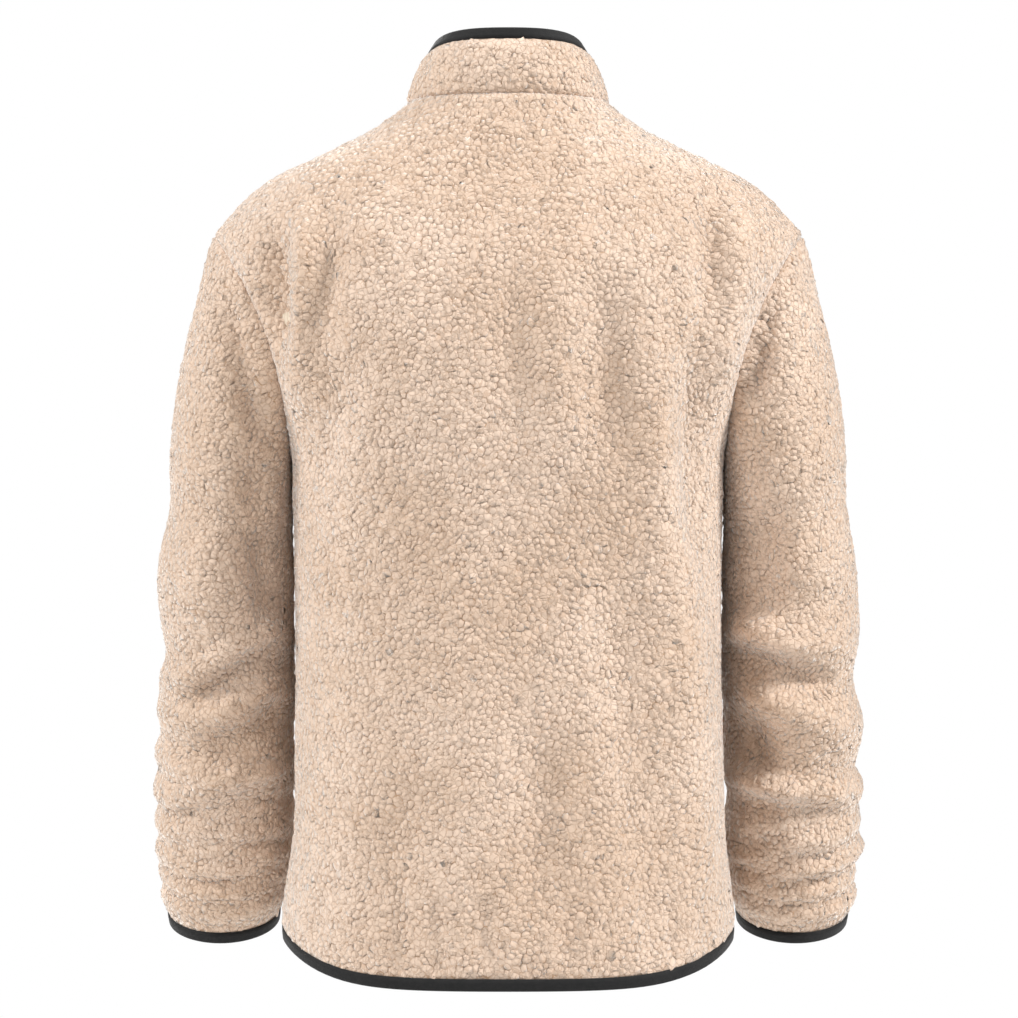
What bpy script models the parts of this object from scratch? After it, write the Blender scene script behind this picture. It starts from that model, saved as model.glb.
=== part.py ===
"""Sherpa jacket, filled out and hanging as if worn, with nobody in it.

Metres, +Z up. The origin is the middle of the neck opening, level with the collar seam at the centre back,
where a wearer's shoulders would hold the jacket. The zip faces -Y and the back faces +Y, so the wearer's
left sleeve is at +X.

Every cloth piece is a wall with a pile side and an inner side, and lies 0.3 mm from the pieces sewn to it.
"""

import math

import bmesh
import bpy
import numpy as np
from mathutils import Matrix, Vector

# Driving sizes
seam_gap = 0.0003
wall = 0.005  # fleece backing and its pile together
collar_seam = 0.0005  # the seam turns fast round the neck, so it is a little wider apart
collar_wall = 0.008  # the collar is two layers, thinner only where it meets the zip
zip_half_gap = 0.006  # from the centre front to the cloth's edge beside the zip
tape_seat = 0.010  # from the front's edge in to the line of points that the zip's tape lies on
tape_thickness = 0.0008
binding_height = 0.009
binding_play = 0.0004  # between the cloth's edge and the binding folded over it
pressed_half = 0.00125  # half the thickness of the fleece where the binding grips it
binding_run_in = 0.0045  # how far above the binding the pile is still pressed
hem_side = -0.682
hem_back_drop = 0.0285
hem_roundness = 5.6
neck_front_drop = 0.062

# Grid sizes
round_steps = 20  # points round a sleeve, and so round each armhole
back_shares = np.array([0, 0.10, 0.20, 0.30, 0.39, 0.48, 0.56, 0.64, 0.71, 0.78, 0.84, 0.90, 0.95, 1])
front_shares = np.array([0, 0.15, 0.30, 0.44, 0.56, 0.67, 0.77, 0.86, 0.94, 1])


def table(names, *rows):
    """Rows of numbers as one array for each named column, from the lowest value of the first column up."""
    rows = np.array(sorted(rows), float)
    return dict(zip(names.split(), rows.T))


def listing(names, *rows):
    """Rows of numbers as one array for each named column, in the order given."""
    return dict(zip(names.split(), np.array(rows, float).T))


torso = table(
    "level half_width back front squareness",
    (0.012, 0.0790, 0.0725, 0.0735, 2.05),
    (0.000, 0.0835, 0.0750, 0.0745, 2.05),
    (-0.0144, 0.1013, 0.0795, 0.0770, 2.08),
    (-0.0308, 0.1275, 0.0850, 0.0800, 2.10),
    (-0.0472, 0.1624, 0.0910, 0.0845, 2.12),
    (-0.0636, 0.1935, 0.0975, 0.0895, 2.15),
    (-0.0800, 0.2144, 0.1045, 0.0950, 2.20),
    (-0.0964, 0.2296, 0.1110, 0.1000, 2.25),
    (-0.1090, 0.2407, 0.1165, 0.1040, 2.30),
    (-0.1450, 0.2350, 0.1280, 0.1130, 2.40),
    (-0.1900, 0.2150, 0.1340, 0.1210, 2.45),
    (-0.2400, 0.1930, 0.1355, 0.1255, 2.50),
    (-0.2850, 0.1770, 0.1340, 0.1270, 2.50),
    (-0.3200, 0.1758, 0.1315, 0.1270, 2.50),
    (-0.3750, 0.1742, 0.1295, 0.1270, 2.50),
    (-0.4500, 0.1736, 0.1300, 0.1280, 2.50),
    (-0.5400, 0.1740, 0.1330, 0.1290, 2.50),
    (-0.6000, 0.1752, 0.1355, 0.1300, 2.45),
    (-0.6450, 0.1822, 0.1380, 0.1310, 2.40),
    (-0.6700, 0.1848, 0.1385, 0.1310, 2.40),
    (-0.6950, 0.1830, 0.1380, 0.1300, 2.40),
    (-0.7250, 0.1790, 0.1360, 0.1290, 2.40),
)

# The soft ridges and troughs of the back, as seen from behind: a line from one end to the other,
# how wide it is to each side, and how far it stands out.
back_folds = listing(
    "from_x from_z to_x to_z width height",
    (-0.108, -0.187, -0.157, -0.640, 0.020, 0.0055),
    (-0.075, -0.150, -0.076, -0.290, 0.019, -0.0050),
    (-0.075, -0.370, -0.118, -0.660, 0.019, -0.0040),
    (-0.006, -0.140, -0.008, -0.280, 0.018, -0.0030),
    (-0.040, -0.150, -0.038, -0.300, 0.017, 0.0020),
    (-0.026, -0.500, -0.024, -0.655, 0.021, -0.0045),
    (-0.163, -0.080, -0.166, -0.190, 0.015, -0.0050),
    (-0.149, -0.200, -0.146, -0.365, 0.015, -0.0050),
    (-0.184, -0.090, -0.172, -0.230, 0.014, 0.0040),
    (0.181, -0.105, 0.186, -0.210, 0.014, -0.0070),
    (0.163, -0.100, 0.166, -0.235, 0.014, 0.0055),
    (0.138, -0.105, 0.160, -0.225, 0.015, -0.0045),
    (0.127, -0.212, 0.152, -0.315, 0.016, -0.0035),
    (0.064, -0.550, 0.113, -0.645, 0.020, -0.0030),
    (0.020, -0.300, 0.030, -0.620, 0.026, 0.0020),
)

# The front is hidden in the photograph, so it has like folds from the armholes and down each side.
front_folds = listing(
    "from_x from_z to_x to_z width height",
    (0.150, -0.105, 0.160, -0.220, 0.015, -0.0055),
    (0.172, -0.120, 0.170, -0.260, 0.014, 0.0040),
    (0.128, -0.160, 0.145, -0.330, 0.014, -0.0040),
    (0.095, -0.260, 0.112, -0.600, 0.019, 0.0040),
    (0.060, -0.430, 0.052, -0.650, 0.018, -0.0035),
    (-0.154, -0.100, -0.162, -0.230, 0.015, -0.0055),
    (-0.174, -0.130, -0.170, -0.270, 0.014, 0.0040),
    (-0.120, -0.180, -0.140, -0.350, 0.014, -0.0040),
    (-0.098, -0.300, -0.104, -0.640, 0.019, 0.0038),
    (-0.056, -0.380, -0.064, -0.610, 0.018, -0.0032),
)

# The smooth form of an arm: where its outer and inner lines run at each level, how far back and forward
# it reaches, how far its rings tip down at the back, and how far the armhole bows in.
arm = table(
    "level outer_x inner_x back_y front_y pitch bow",
    (-0.109, 0.2407, 0.1772, 0.0600, -0.0600, 0.00, 0.014),
    (-0.129, 0.2474, 0.1772, 0.0600, -0.0600, 0.00, 0.014),
    (-0.162, 0.2548, 0.1772, 0.0600, -0.0600, 0.00, 0.014),
    (-0.197, 0.2642, 0.1772, 0.0600, -0.0600, 0.00, 0.014),
    (-0.228, 0.2706, 0.1772, 0.0615, -0.0665, 0.00, 0.008),
    (-0.260, 0.2752, 0.1772, 0.0595, -0.0735, 0.00, 0.003),
    (-0.293, 0.2783, 0.1772, 0.0550, -0.0795, 0.00, 0.000),
    (-0.326, 0.2790, 0.1772, 0.0500, -0.0845, 0.02, 0.000),
    (-0.359, 0.2840, 0.1768, 0.0455, -0.0885, 0.04, 0.000),
    (-0.392, 0.2875, 0.1764, 0.0410, -0.0925, 0.07, 0.000),
    (-0.452, 0.2865, 0.1760, 0.0290, -0.1010, 0.14, 0.000),
    (-0.490, 0.2890, 0.1762, 0.0190, -0.1080, 0.18, 0.000),
    (-0.533, 0.2925, 0.1768, 0.0075, -0.1160, 0.23, 0.000),
    (-0.570, 0.2940, 0.1778, -0.0030, -0.1230, 0.26, 0.000),
    (-0.620, 0.2940, 0.1800, -0.0180, -0.1330, 0.29, 0.000),
    (-0.650, 0.2905, 0.1850, -0.0300, -0.1395, 0.30, 0.000),
    (-0.664, 0.2885, 0.1905, -0.0385, -0.1430, 0.30, 0.000),
    (-0.700, 0.2840, 0.1935, -0.0480, -0.1490, 0.30, 0.000),
)

# A row for each ring of a sleeve that is a fold's crest or trough, from the armhole down: the level it
# crosses the outer and the inner line of the arm at, and how far it swells there, behind and in front.
ring_columns = "outer_level inner_level outer back inner front"
fan = (
    (-0.109, -0.285, 0.0000, 0.0000, 0.0000, 0.0000),
    (-0.129, -0.293, 0.0000, 0.0005, 0.0000, 0.0005),
    (-0.162, -0.301, 0.0000, 0.0010, 0.0000, 0.0010),
    (-0.195, -0.309, 0.0000, 0.0000, 0.0000, 0.0000),
    (-0.228, -0.318, 0.0000, 0.0000, 0.0000, 0.0000),
    (-0.260, -0.328, 0.0000, 0.0010, 0.0000, 0.0005),
    (-0.293, -0.340, 0.0000, 0.0010, 0.0000, 0.0010),
)
cuff_rings = (
    (-0.6645, -0.6630, 0.0000, 0.0000, 0.0000, 0.0000),
    (-0.6700, -0.6700, 0.0000, 0.0000, 0.0000, 0.0000),
    (-0.6790, -0.6790, 0.0000, 0.0000, 0.0000, 0.0000),
)
left_rings = listing(
    ring_columns,
    *fan,
    (-0.338, -0.354, -0.0010, -0.0050, -0.0010, -0.0025),
    (-0.378, -0.388, 0.0025, 0.0045, 0.0000, 0.0030),
    (-0.430, -0.418, -0.0005, 0.0000, -0.0010, -0.0010),
    (-0.452, -0.430, -0.0035, -0.0035, -0.0020, -0.0030),
    (-0.470, -0.441, 0.0010, 0.0040, 0.0000, 0.0025),
    (-0.486, -0.456, 0.0005, -0.0055, -0.0020, -0.0030),
    (-0.500, -0.480, 0.0020, 0.0045, 0.0000, 0.0025),
    (-0.517, -0.524, -0.0025, -0.0050, -0.0025, -0.0035),
    (-0.533, -0.540, 0.0025, 0.0020, 0.0000, 0.0025),
    (-0.5475, -0.5480, -0.0015, -0.0015, -0.0010, -0.0025),
    (-0.5660, -0.5590, 0.0030, 0.0050, 0.0000, 0.0035),
    (-0.5785, -0.5740, -0.0025, -0.0055, -0.0020, -0.0030),
    (-0.5920, -0.5890, 0.0020, 0.0030, 0.0000, 0.0025),
    (-0.6030, -0.6010, -0.0030, -0.0035, -0.0015, -0.0030),
    (-0.6160, -0.6130, 0.0025, 0.0030, 0.0000, 0.0025),
    (-0.6260, -0.6240, -0.0015, -0.0035, -0.0015, -0.0025),
    (-0.6360, -0.6340, 0.0020, 0.0030, 0.0000, 0.0025),
    (-0.6455, -0.6440, -0.0025, -0.0030, -0.0015, -0.0025),
    (-0.6545, -0.6530, 0.0030, 0.0035, 0.0010, 0.0030),
    *cuff_rings,
)
right_rings = listing(
    ring_columns,
    *fan,
    (-0.330, -0.356, -0.0005, -0.0020, -0.0010, -0.0015),
    (-0.375, -0.385, 0.0005, 0.0015, 0.0000, 0.0020),
    (-0.402, -0.412, 0.0015, -0.0040, -0.0015, -0.0020),
    (-0.440, -0.431, 0.0040, 0.0040, 0.0000, 0.0025),
    (-0.473, -0.446, -0.0020, -0.0055, -0.0015, -0.0030),
    (-0.507, -0.466, 0.0045, 0.0045, -0.0010, 0.0030),
    (-0.528, -0.500, 0.0010, -0.0020, -0.0030, -0.0020),
    (-0.546, -0.530, -0.0045, -0.0045, -0.0020, -0.0030),
    (-0.562, -0.548, 0.0035, 0.0050, 0.0000, 0.0030),
    (-0.578, -0.566, -0.0015, -0.0055, -0.0060, -0.0025),
    (-0.592, -0.586, 0.0015, 0.0040, -0.0040, 0.0025),
    (-0.602, -0.602, -0.0020, -0.0035, 0.0000, -0.0030),
    (-0.615, -0.614, 0.0055, 0.0030, 0.0010, 0.0025),
    (-0.6260, -0.6240, -0.0040, -0.0035, -0.0050, -0.0025),
    (-0.6370, -0.6350, 0.0010, 0.0030, 0.0000, 0.0025),
    (-0.6455, -0.6440, -0.0030, -0.0030, -0.0015, -0.0025),
    (-0.6550, -0.6535, 0.0050, 0.0035, 0.0010, 0.0030),
    *cuff_rings,
)

# Short creases on the upper sleeves, in the same form as the folds of the back, for the side they face.
left_creases = listing(
    "from_x from_z to_x to_z width height",
    (0.228, -0.165, 0.200, -0.270, 0.010, -0.0045),
    (0.205, -0.160, 0.192, -0.235, 0.009, -0.0040),
)
right_creases = listing(
    "from_x from_z to_x to_z width height",
    (-0.206, -0.140, -0.196, -0.250, 0.011, -0.0055),
    (-0.206, -0.095, -0.200, -0.118, 0.008, -0.0030),
)


def curve(knots, values, at):
    """A smooth curve through the values, whose slope at each knot is taken across its neighbours."""
    at = np.asarray(at, float)
    slope = np.gradient(values, knots)
    i = np.clip(np.searchsorted(knots, at) - 1, 0, len(knots) - 2)
    span = knots[i + 1] - knots[i]
    s = np.clip((at - knots[i]) / span, 0, 1)
    return (
        (2 * s**3 - 3 * s**2 + 1) * values[i]
        + (s**3 - 2 * s**2 + s) * span * slope[i]
        + (3 * s**2 - 2 * s**3) * values[i + 1]
        + (s**3 - s**2) * span * slope[i + 1]
    )


def smooth_step(low, high, value):
    s = np.clip((np.asarray(value, float) - low) / (high - low), 0, 1)
    return s * s * (3 - 2 * s)


def unit(v):
    return v / np.maximum(np.linalg.norm(v, axis=-1, keepdims=True), 1e-12)


def fold_height(folds, x, z):
    """How far the cloth stands out at a point, summed over a table of ridges and troughs."""
    height = np.zeros(np.broadcast(x, z).shape)
    for fx, fz, tx, tz, width, rise in zip(*folds.values()):
        long = math.hypot(tx - fx, tz - fz)
        along = ((x - fx) * (tx - fx) + (z - fz) * (tz - fz)) / long**2
        across = ((x - fx) * (tz - fz) - (z - fz) * (tx - fx)) / long
        height = height + rise * np.exp(-((across / width) ** 2) - 1.2 * (2 * along - 1) ** 4)
    return height


# Sleeves


def ring_point(rings, row, angle):
    """A point of the arm's smooth form: 0 degrees is the outer line, 90 behind, 180 the inner line."""
    steps = np.arange(len(rings["outer_level"]))
    outer_z = curve(steps, rings["outer_level"], row)
    inner_z = curve(steps, rings["inner_level"], row)
    middle = (outer_z + inner_z) / 2
    form = {name: curve(arm["level"], arm[name], middle) for name in ("back_y", "front_y", "pitch", "bow")}
    outer_x = curve(arm["level"], arm["outer_x"], outer_z)
    inner_x = curve(arm["level"], arm["inner_x"], inner_z)
    share = (1 + np.cos(angle)) / 2
    long = np.hypot(outer_x - inner_x, outer_z - inner_z)
    bow = form["bow"] * np.sin(angle) ** 2
    x = inner_x + (outer_x - inner_x) * share - bow * (outer_z - inner_z) / long
    y_out = (form["back_y"] - form["front_y"]) / 2 * np.sin(angle)
    y = (form["back_y"] + form["front_y"]) / 2 + y_out
    z = inner_z + (outer_z - inner_z) * share + bow * (outer_x - inner_x) / long
    return np.stack(np.broadcast_arrays(x, y, z - form["pitch"] * y_out), axis=-1)


def armhole_normal(angle):
    """Which way the pile faces at the armhole seam: out from the hole's middle, turned towards the sleeve."""
    top, bottom, side = (ring_point(left_rings, 0.0, np.radians(a)) for a in (0, 180, 90))
    centre = (top + bottom) / 2
    up = unit(top - centre)
    radial = np.cos(angle)[..., None] * up + np.sin(angle)[..., None] * np.array([0.0, 1.0, 0.0])
    outward = (0.45 + 0.15 * np.cos(angle))[..., None] * np.array([1.0, 0.0, 0.0])
    return unit(radial + outward)


def sleeve_swell(rings, row, angle):
    """How far the folds that run round the sleeve stand out."""
    steps = np.arange(len(rings["outer_level"]))
    outer, back, inner, front = (curve(steps, rings[n], row) for n in ("outer", "back", "inner", "front"))
    out_share, in_share = np.maximum(np.cos(angle), 0) ** 2, np.maximum(-np.cos(angle), 0) ** 2
    side = np.where(np.sin(angle) > 0, back, front) * np.sin(angle) ** 2
    return outer * out_share + inner * in_share + side


def sleeve_surface(rings, creases, mirror, row, angle):
    """(point on the pile's surface, way the pile faces) of a sleeve at x above zero, before it is mirrored."""
    little = 0.01
    place = ring_point(rings, row, angle)
    last = len(rings["outer_level"]) - 1
    down = ring_point(rings, np.minimum(row + little, last), angle) - ring_point(
        rings, np.maximum(row - little, 0), angle
    )
    around = ring_point(rings, row, angle + little) - ring_point(rings, row, angle - little)
    normal = unit(np.cross(down, around))
    share = smooth_step(0.0, 1.5, row)[..., None]
    normal = unit(normal * share + armhole_normal(angle) * (1 - share))
    seen_x = place[..., 0] * mirror
    from_seam = smooth_step(0.0, 0.8, row)
    crease = fold_height(creases, seen_x, place[..., 2]) * np.clip(np.sin(angle) * 1.6, 0, 1)
    front_crease = fold_height(creases, seen_x, place[..., 2] + 0.02) * np.clip(-np.sin(angle) * 1.2, 0, 1)
    swell = sleeve_swell(rings, row, angle) + crease + front_crease
    return place + normal * (swell * from_seam)[..., None], normal


# Front, back and the line of the neck


def torso_size(name, z):
    return curve(torso["level"], torso[name], z)


def armhole_at(z):
    """(x, y) of the back half of the armhole at these levels."""
    angle = np.linspace(0, math.pi, 400)
    points = ring_point(left_rings, 0.0, angle)
    order = np.argsort(points[:, 2])
    return tuple(np.interp(z, points[order, 2], points[order, k]) for k in (0, 1))


armhole_top = float(ring_point(left_rings, 0.0, 0.0)[2])
armhole_bottom = float(ring_point(left_rings, 0.0, math.pi)[2])


def section(face, z):
    """(half width, depth, squareness, last turn) of the body's outline at these levels, on its back or front."""
    depth = torso_size(face, z)
    squareness = torso_size("squareness", z)
    in_hole = (z < armhole_top) & (z > armhole_bottom)
    hole_x, hole_y = armhole_at(z)
    end_y = np.where(in_hole, hole_y, 0.0)
    reach = (1 - (end_y / depth) ** squareness) ** (1 / squareness)
    width = np.where(in_hole, hole_x / reach, torso_size("half_width", z))
    return width, depth, squareness, np.arccos(np.clip((end_y / depth) ** (squareness / 2), 0, 1))


# The width that the middle of each panel follows, so that the armhole's ends leave no line across it.
even_levels = np.linspace(-0.80, 0.06, 431)
even_kernel = np.exp(-((np.arange(-30, 31) / 13.0) ** 2))
even_width = {}
for side_name in ("back", "front"):
    padded = np.pad(section(side_name, even_levels)[0], 30, mode="edge")
    even_width[side_name] = np.convolve(padded, even_kernel / even_kernel.sum(), mode="valid")


def outline_point(face, z, turn):
    """A point of the back or the front, turn 0 at its middle and 90 degrees at the body's side."""
    width, depth, squareness, last = section(face, z)
    even = np.interp(z, even_levels, even_width[face])
    evened = smooth_step(-0.062, -0.09, z) * (1 - smooth_step(0.55, 1.0, turn / last))
    x = (width + (even - width) * evened) * np.sin(turn) ** (2 / squareness)
    y = depth * np.abs(np.cos(turn)) ** (2 / squareness)
    return np.stack(np.broadcast_arrays(x, y if face == "back" else -y, z), axis=-1)


def hem_drop(face, share):
    """How far the hem hangs below its height at the side seam, where x is this share of the half width."""
    return (hem_back_drop if face == "back" else 0.0) * (1 - share**hem_roundness)


def torso_point(face, level, turn):
    """(point, way it faces) on the left half of the body; a level near the hem hangs with the hem."""
    share = np.sin(turn) ** (2 / torso_size("squareness", level))
    z = level - hem_drop(face, share) * smooth_step(-0.50, hem_side, level)
    up = outline_point(face, z + 0.002, turn) - outline_point(face, z - 0.002, turn)
    little = 0.004
    low, high = np.maximum(turn - little, 0), np.minimum(turn + little, math.pi / 2)
    across = outline_point(face, z, high) - outline_point(face, z, low)
    normal = unit(np.cross(up, across))
    return outline_point(face, z, turn), normal if face == "back" else -normal


def torso_row(face, level, shares, start_x=0.0):
    """One row of half a panel, at these shares of its length from the middle to the side."""
    width, _, squareness, last = (float(v) for v in section(face, np.array(level)))
    first = math.asin(min(1.0, (start_x / width) ** (squareness / 2)))
    turns = np.linspace(first, last, 240)
    points, _ = torso_point(face, np.full_like(turns, level), turns)
    run = np.concatenate([[0], np.cumsum(np.linalg.norm(np.diff(points, axis=0), axis=1))])
    turn = np.interp(np.asarray(shares) * run[-1], run, turns)
    point, normal = torso_point(face, np.full_like(turn, level), turn)
    return point, normal, (1 - np.asarray(shares)) * run[-1]


neck_side = float(torso_size("half_width", 0.0))


def neckline_x(z):
    """How far the front neckline is from the middle at a level between its lowest point and the shoulder."""
    return neck_side * math.sqrt(max(0.0, 1 - (z / neck_front_drop) ** 2))


def neckline(half_turn):
    """(point, panel's normal) on the left half of the neckline, from 0 at the centre back to 180 at the front."""
    if half_turn <= 90:
        point, normal = torso_point("back", np.array([0.0]), np.radians([half_turn]))
    else:
        slope = math.radians(half_turn - 90)
        z = -neck_front_drop * math.sin(slope)
        x = max(neck_side * math.cos(slope), 1e-6)
        squareness, width = float(torso_size("squareness", z)), float(torso_size("half_width", z))
        turn = math.asin(min(1.0, (x / width) ** (squareness / 2)))
        point, normal = torso_point("front", np.array([z]), np.array([turn]))
    return point[0], normal[0]


neck_slopes = (2, 9, 17, 26, 35, 44, 53, 62, 71, 78.95, 86)  # down the front neckline, in degrees


def collar_rim(half_turn):
    """A point on the left half of the collar's top, from 0 at the centre back to 180 at the zip."""
    turn = math.radians(half_turn)
    x = 0.0645 * abs(math.sin(turn)) ** (2 / 2.25)
    y = math.copysign(abs(math.cos(turn)) ** (2 / 2.25), math.cos(turn)) * (0.0680 if half_turn <= 90 else 0.0800)
    return np.array([x, y, 0.0329 + 0.02575 * math.cos(turn) - 0.0061 * math.cos(2 * turn)])


def collar_point(half_turn, rise):
    """(point, way it faces) on the left half of the collar, rise 0 at its seam and 1 at its top."""
    base, panel_normal = neckline(half_turn)
    top = collar_rim(half_turn)
    side, _ = neckline(min(180.0, half_turn + 2))
    before, _ = neckline(max(0.0, half_turn - 2))
    face = unit(np.cross(top - base, side - before))
    bow = 0.0022 + 0.0015 * math.cos(math.radians(half_turn))
    point = base + (top - base) * rise + face * bow * math.sin(math.pi * rise)
    seam_share = max(0.0, 1 - rise * 4)
    return point, unit(face + panel_normal * seam_share)


def collar_thickness(half_turn, rise):
    """The collar is as thin as a front at its seam and beside the zip."""
    return wall + (collar_wall - wall) * float(smooth_step(170, 140, half_turn) * smooth_step(0.0, 0.25, rise))


# Meshes


def material(name, colour, roughness, metallic=0.0):
    made = bpy.data.materials.new(name)
    made.use_nodes = True
    shader = made.node_tree.nodes["Principled BSDF"]
    shader.inputs["Base Color"].default_value = (*colour, 1.0)
    shader.inputs["Roughness"].default_value = roughness
    shader.inputs["Metallic"].default_value = metallic
    return made


def finish(name, bm, finish_material, sharp_angle=40):
    """Makes an object of a bmesh, its faces pointing out."""
    bmesh.ops.recalc_face_normals(bm, faces=bm.faces)
    # Two pieces that face each other across a seam split their four-sided faces the same way.
    bmesh.ops.triangulate(bm, faces=bm.faces, quad_method="SHORT_EDGE")
    mesh = bpy.data.meshes.new(name)
    bm.to_mesh(mesh)
    bm.free()
    mesh.shade_smooth()
    mesh.set_sharp_from_angle(angle=math.radians(sharp_angle))
    mesh.materials.append(finish_material)
    made = bpy.data.objects.new(name, mesh)
    parts.objects.link(made)
    return made


def skin(bm, grid, wrap):
    """Quads over a grid of vertices, joined round if it wraps."""
    rows, columns = len(grid), len(grid[0])
    for r in range(rows - 1):
        for c in range(columns if wrap else columns - 1):
            n = (c + 1) % columns
            bm.faces.new((grid[r][c], grid[r][n], grid[r + 1][n], grid[r + 1][c]))


def cloth(name, outer, inner, wrap, cloth_material):
    """A wall of cloth between two grids of points, closed along its edges."""
    bm = bmesh.new()
    sheets = [[[bm.verts.new(p) for p in row] for row in grid] for grid in (outer, inner)]
    for grid in sheets:
        skin(bm, grid, wrap)
    for r in (0, -1):
        skin(bm, [sheets[0][r], sheets[1][r]], wrap)
    if not wrap:
        for c in (0, -1):
            skin(bm, [[row[c] for row in sheets[0]], [row[c] for row in sheets[1]]], False)
    return finish(name, bm, cloth_material)


def sweep(name, loops, closed, sweep_material, sharp_angle=40):
    """A solid whose cross-section is each of these loops in turn."""
    bm = bmesh.new()
    rings = [[bm.verts.new(p) for p in loop] for loop in loops]
    skin(bm, rings + rings[:1] if closed else rings, True)
    if not closed:
        for ring in (rings[0], rings[-1]):
            bm.faces.new(ring)
    return finish(name, bm, sweep_material, sharp_angle)


def press_edge(outer, inner, normal, distance):
    """The two faces of the cloth pressed together where the binding grips them, by distance from the edge."""
    share = 1 - smooth_step(binding_height + 0.0004, binding_height + binding_run_in, distance)
    middle = (outer + inner) / 2
    pressed = pressed_half * np.sign(np.sum((outer - inner) * normal, axis=-1, keepdims=True)) * normal
    share = np.asarray(share)[..., None]
    return outer + (middle + pressed - outer) * share, inner + (middle - pressed - inner) * share


def binding(name, edge_rows, closed):
    """A tape folded over the cloth's edge: a U in section, open towards the cloth.

    edge_rows has the cloth's (outer, inner) points along its edge, and then those of its next row.
    """
    inside = pressed_half + binding_play
    outside = inside + tape_thickness
    bottom = -binding_play - tape_thickness
    profile = (
        (outside, binding_height),
        (outside, bottom * 0.1),
        (outside * 0.55, bottom),
        (-outside * 0.55, bottom),
        (-outside, bottom * 0.1),
        (-outside, binding_height),
        (-inside, binding_height),
        (-inside, -binding_play),
        (inside, -binding_play),
        (inside, binding_height),
    )
    (edge, ways), (upper, upper_ways) = [((o + i) / 2, unit(o - i)) for o, i in edge_rows]
    high = np.linalg.norm(upper - edge, axis=1)
    loops = []
    for e, n, u, m, h in zip(edge, ways, upper, upper_ways, high):
        loops.append([e + (u - e) * along / h + unit(n + (m - n) * along / h) * across for across, along in profile])
    return sweep(name, loops, closed, binding_cloth)


# Panels of the body


def panel_levels(face):
    """The rows of a panel, from its hem up. In the armhole they are the sleeve's own points."""
    hem = hem_side
    low = [hem, hem + binding_height + 0.0004, hem + binding_height + binding_run_in]
    body = list(np.linspace(-0.640, armhole_bottom, 9))
    angles = np.linspace(math.pi, 0, round_steps // 2 + 1)[1:]
    hole = list(ring_point(left_rings, 0.0, angles)[:, 2])
    if face == "back":
        top = [-0.093, -0.077, -0.059, -0.040, -0.020, 0.0]
    else:
        top = [-0.094, -0.076, *(-neck_front_drop * np.sin(np.radians(neck_slopes[::-1])))]
    return low + body + hole + top


def half_panel(face, shares, folds, mirror):
    """(outer, inner, inner before its hem is pressed) grids of half a panel, from its middle to its side."""
    sign = 1.0 if face == "back" else -1.0
    turn_over, flip = np.array([1.0, sign, 1.0]), np.array([mirror, 1, 1])
    grids = ([], [], [])
    for level in panel_levels(face):
        start, in_neck = 0.0, False
        if face == "front":
            in_neck = level > -neck_front_drop - 1e-6
            start = max(zip_half_gap, neckline_x(level) if in_neck else 0.0)
            run = torso_row(face, level, np.array([0.0]), start)[2][0]
            first = tape_seat / run
            shares = np.concatenate([[0], first + (1 - first) * front_shares])
        place, seam, to_side = torso_row(face, level, shares, start)
        normal = seam.copy()
        if armhole_bottom < level <= armhole_top + 1e-6:
            angle = armhole_angle(level)
            place[-1] = ring_point(left_rings, 0.0, angle) * turn_over
            seam[-1] = armhole_normal(np.array(angle)) * turn_over
        if in_neck or (face == "back" and level == 0.0):
            for c in [0] if face == "front" else range(len(shares)):
                seam[c] = neck_seam_normal(place[c], face, level)
        side = place * flip
        rise = fold_height(folds, side[:, 0], side[:, 2]) * (1 - np.exp(-((to_side / 0.011) ** 2)))
        if in_neck:
            rise = rise * (1 - np.exp(-(((to_side[0] - to_side) / 0.011) ** 2)))
        rise = rise * smooth_step(0.0, -0.03, level)
        face_out = place + normal * rise[:, None]
        face_in = face_out - seam * wall
        if level <= armhole_bottom + 1e-6 or level >= armhole_top - 1e-6:
            face_out[-1, 1] = face_in[-1, 1] = sign * seam_gap / 2
        from_hem = place[:, 2] - (hem_side - hem_drop(face, place[:, 0] / max(place[-1, 0], 1e-6)))
        for grid, row in zip(grids, (*press_edge(face_out, face_in, seam, from_hem), face_in)):
            grid.append(row * flip)
    return tuple(np.array(grid) for grid in grids)


def armhole_angle(level):
    """The angle round the armhole of its point behind at this level."""
    angles = np.linspace(0, math.pi, 2001)
    levels = ring_point(left_rings, 0.0, angles)[:, 2]
    return float(np.interp(-level, -levels, angles))


def neck_seam_normal(point, face, level):
    """The direction through the cloth that a panel shares with the collar along the neckline."""
    if face == "back":
        share = min(1.0, abs(point[0]) / neck_side)
        half_turn = math.degrees(math.asin(share ** (float(torso_size("squareness", 0.0)) / 2)))
    else:
        half_turn = 90 + math.degrees(math.asin(min(1.0, -level / neck_front_drop)))
    return collar_point(half_turn, 0.0)[1]


def build_body():
    """The back and the two fronts, and the tape bound over their hem. Returns the left front's inner face."""
    halves = {}
    for mirror in (1, -1):
        halves["back", mirror] = half_panel("back", back_shares, back_folds, mirror)
        halves["front", mirror] = half_panel("front", None, front_folds, mirror)
    joined = [
        np.concatenate([halves["back", -1][k][:, :0:-1], halves["back", 1][k]], axis=1) for k in (0, 1)
    ]
    cloth("back_panel", *joined, False, fleece)
    cloth("front_left", *halves["front", 1][:2], False, fleece)
    cloth("front_right", *halves["front", -1][:2], False, fleece)
    rows = []
    for r in (0, 1):
        row = []
        for k in (0, 1):
            right, left = halves["front", -1][k][r], halves["front", 1][k][r][::-1]
            row.append(np.concatenate([right[:-1], joined[k][r], left[1:]]))
        rows.append(row)
    binding("hem_binding", rows, False)
    return halves["front", 1][2]


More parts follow.
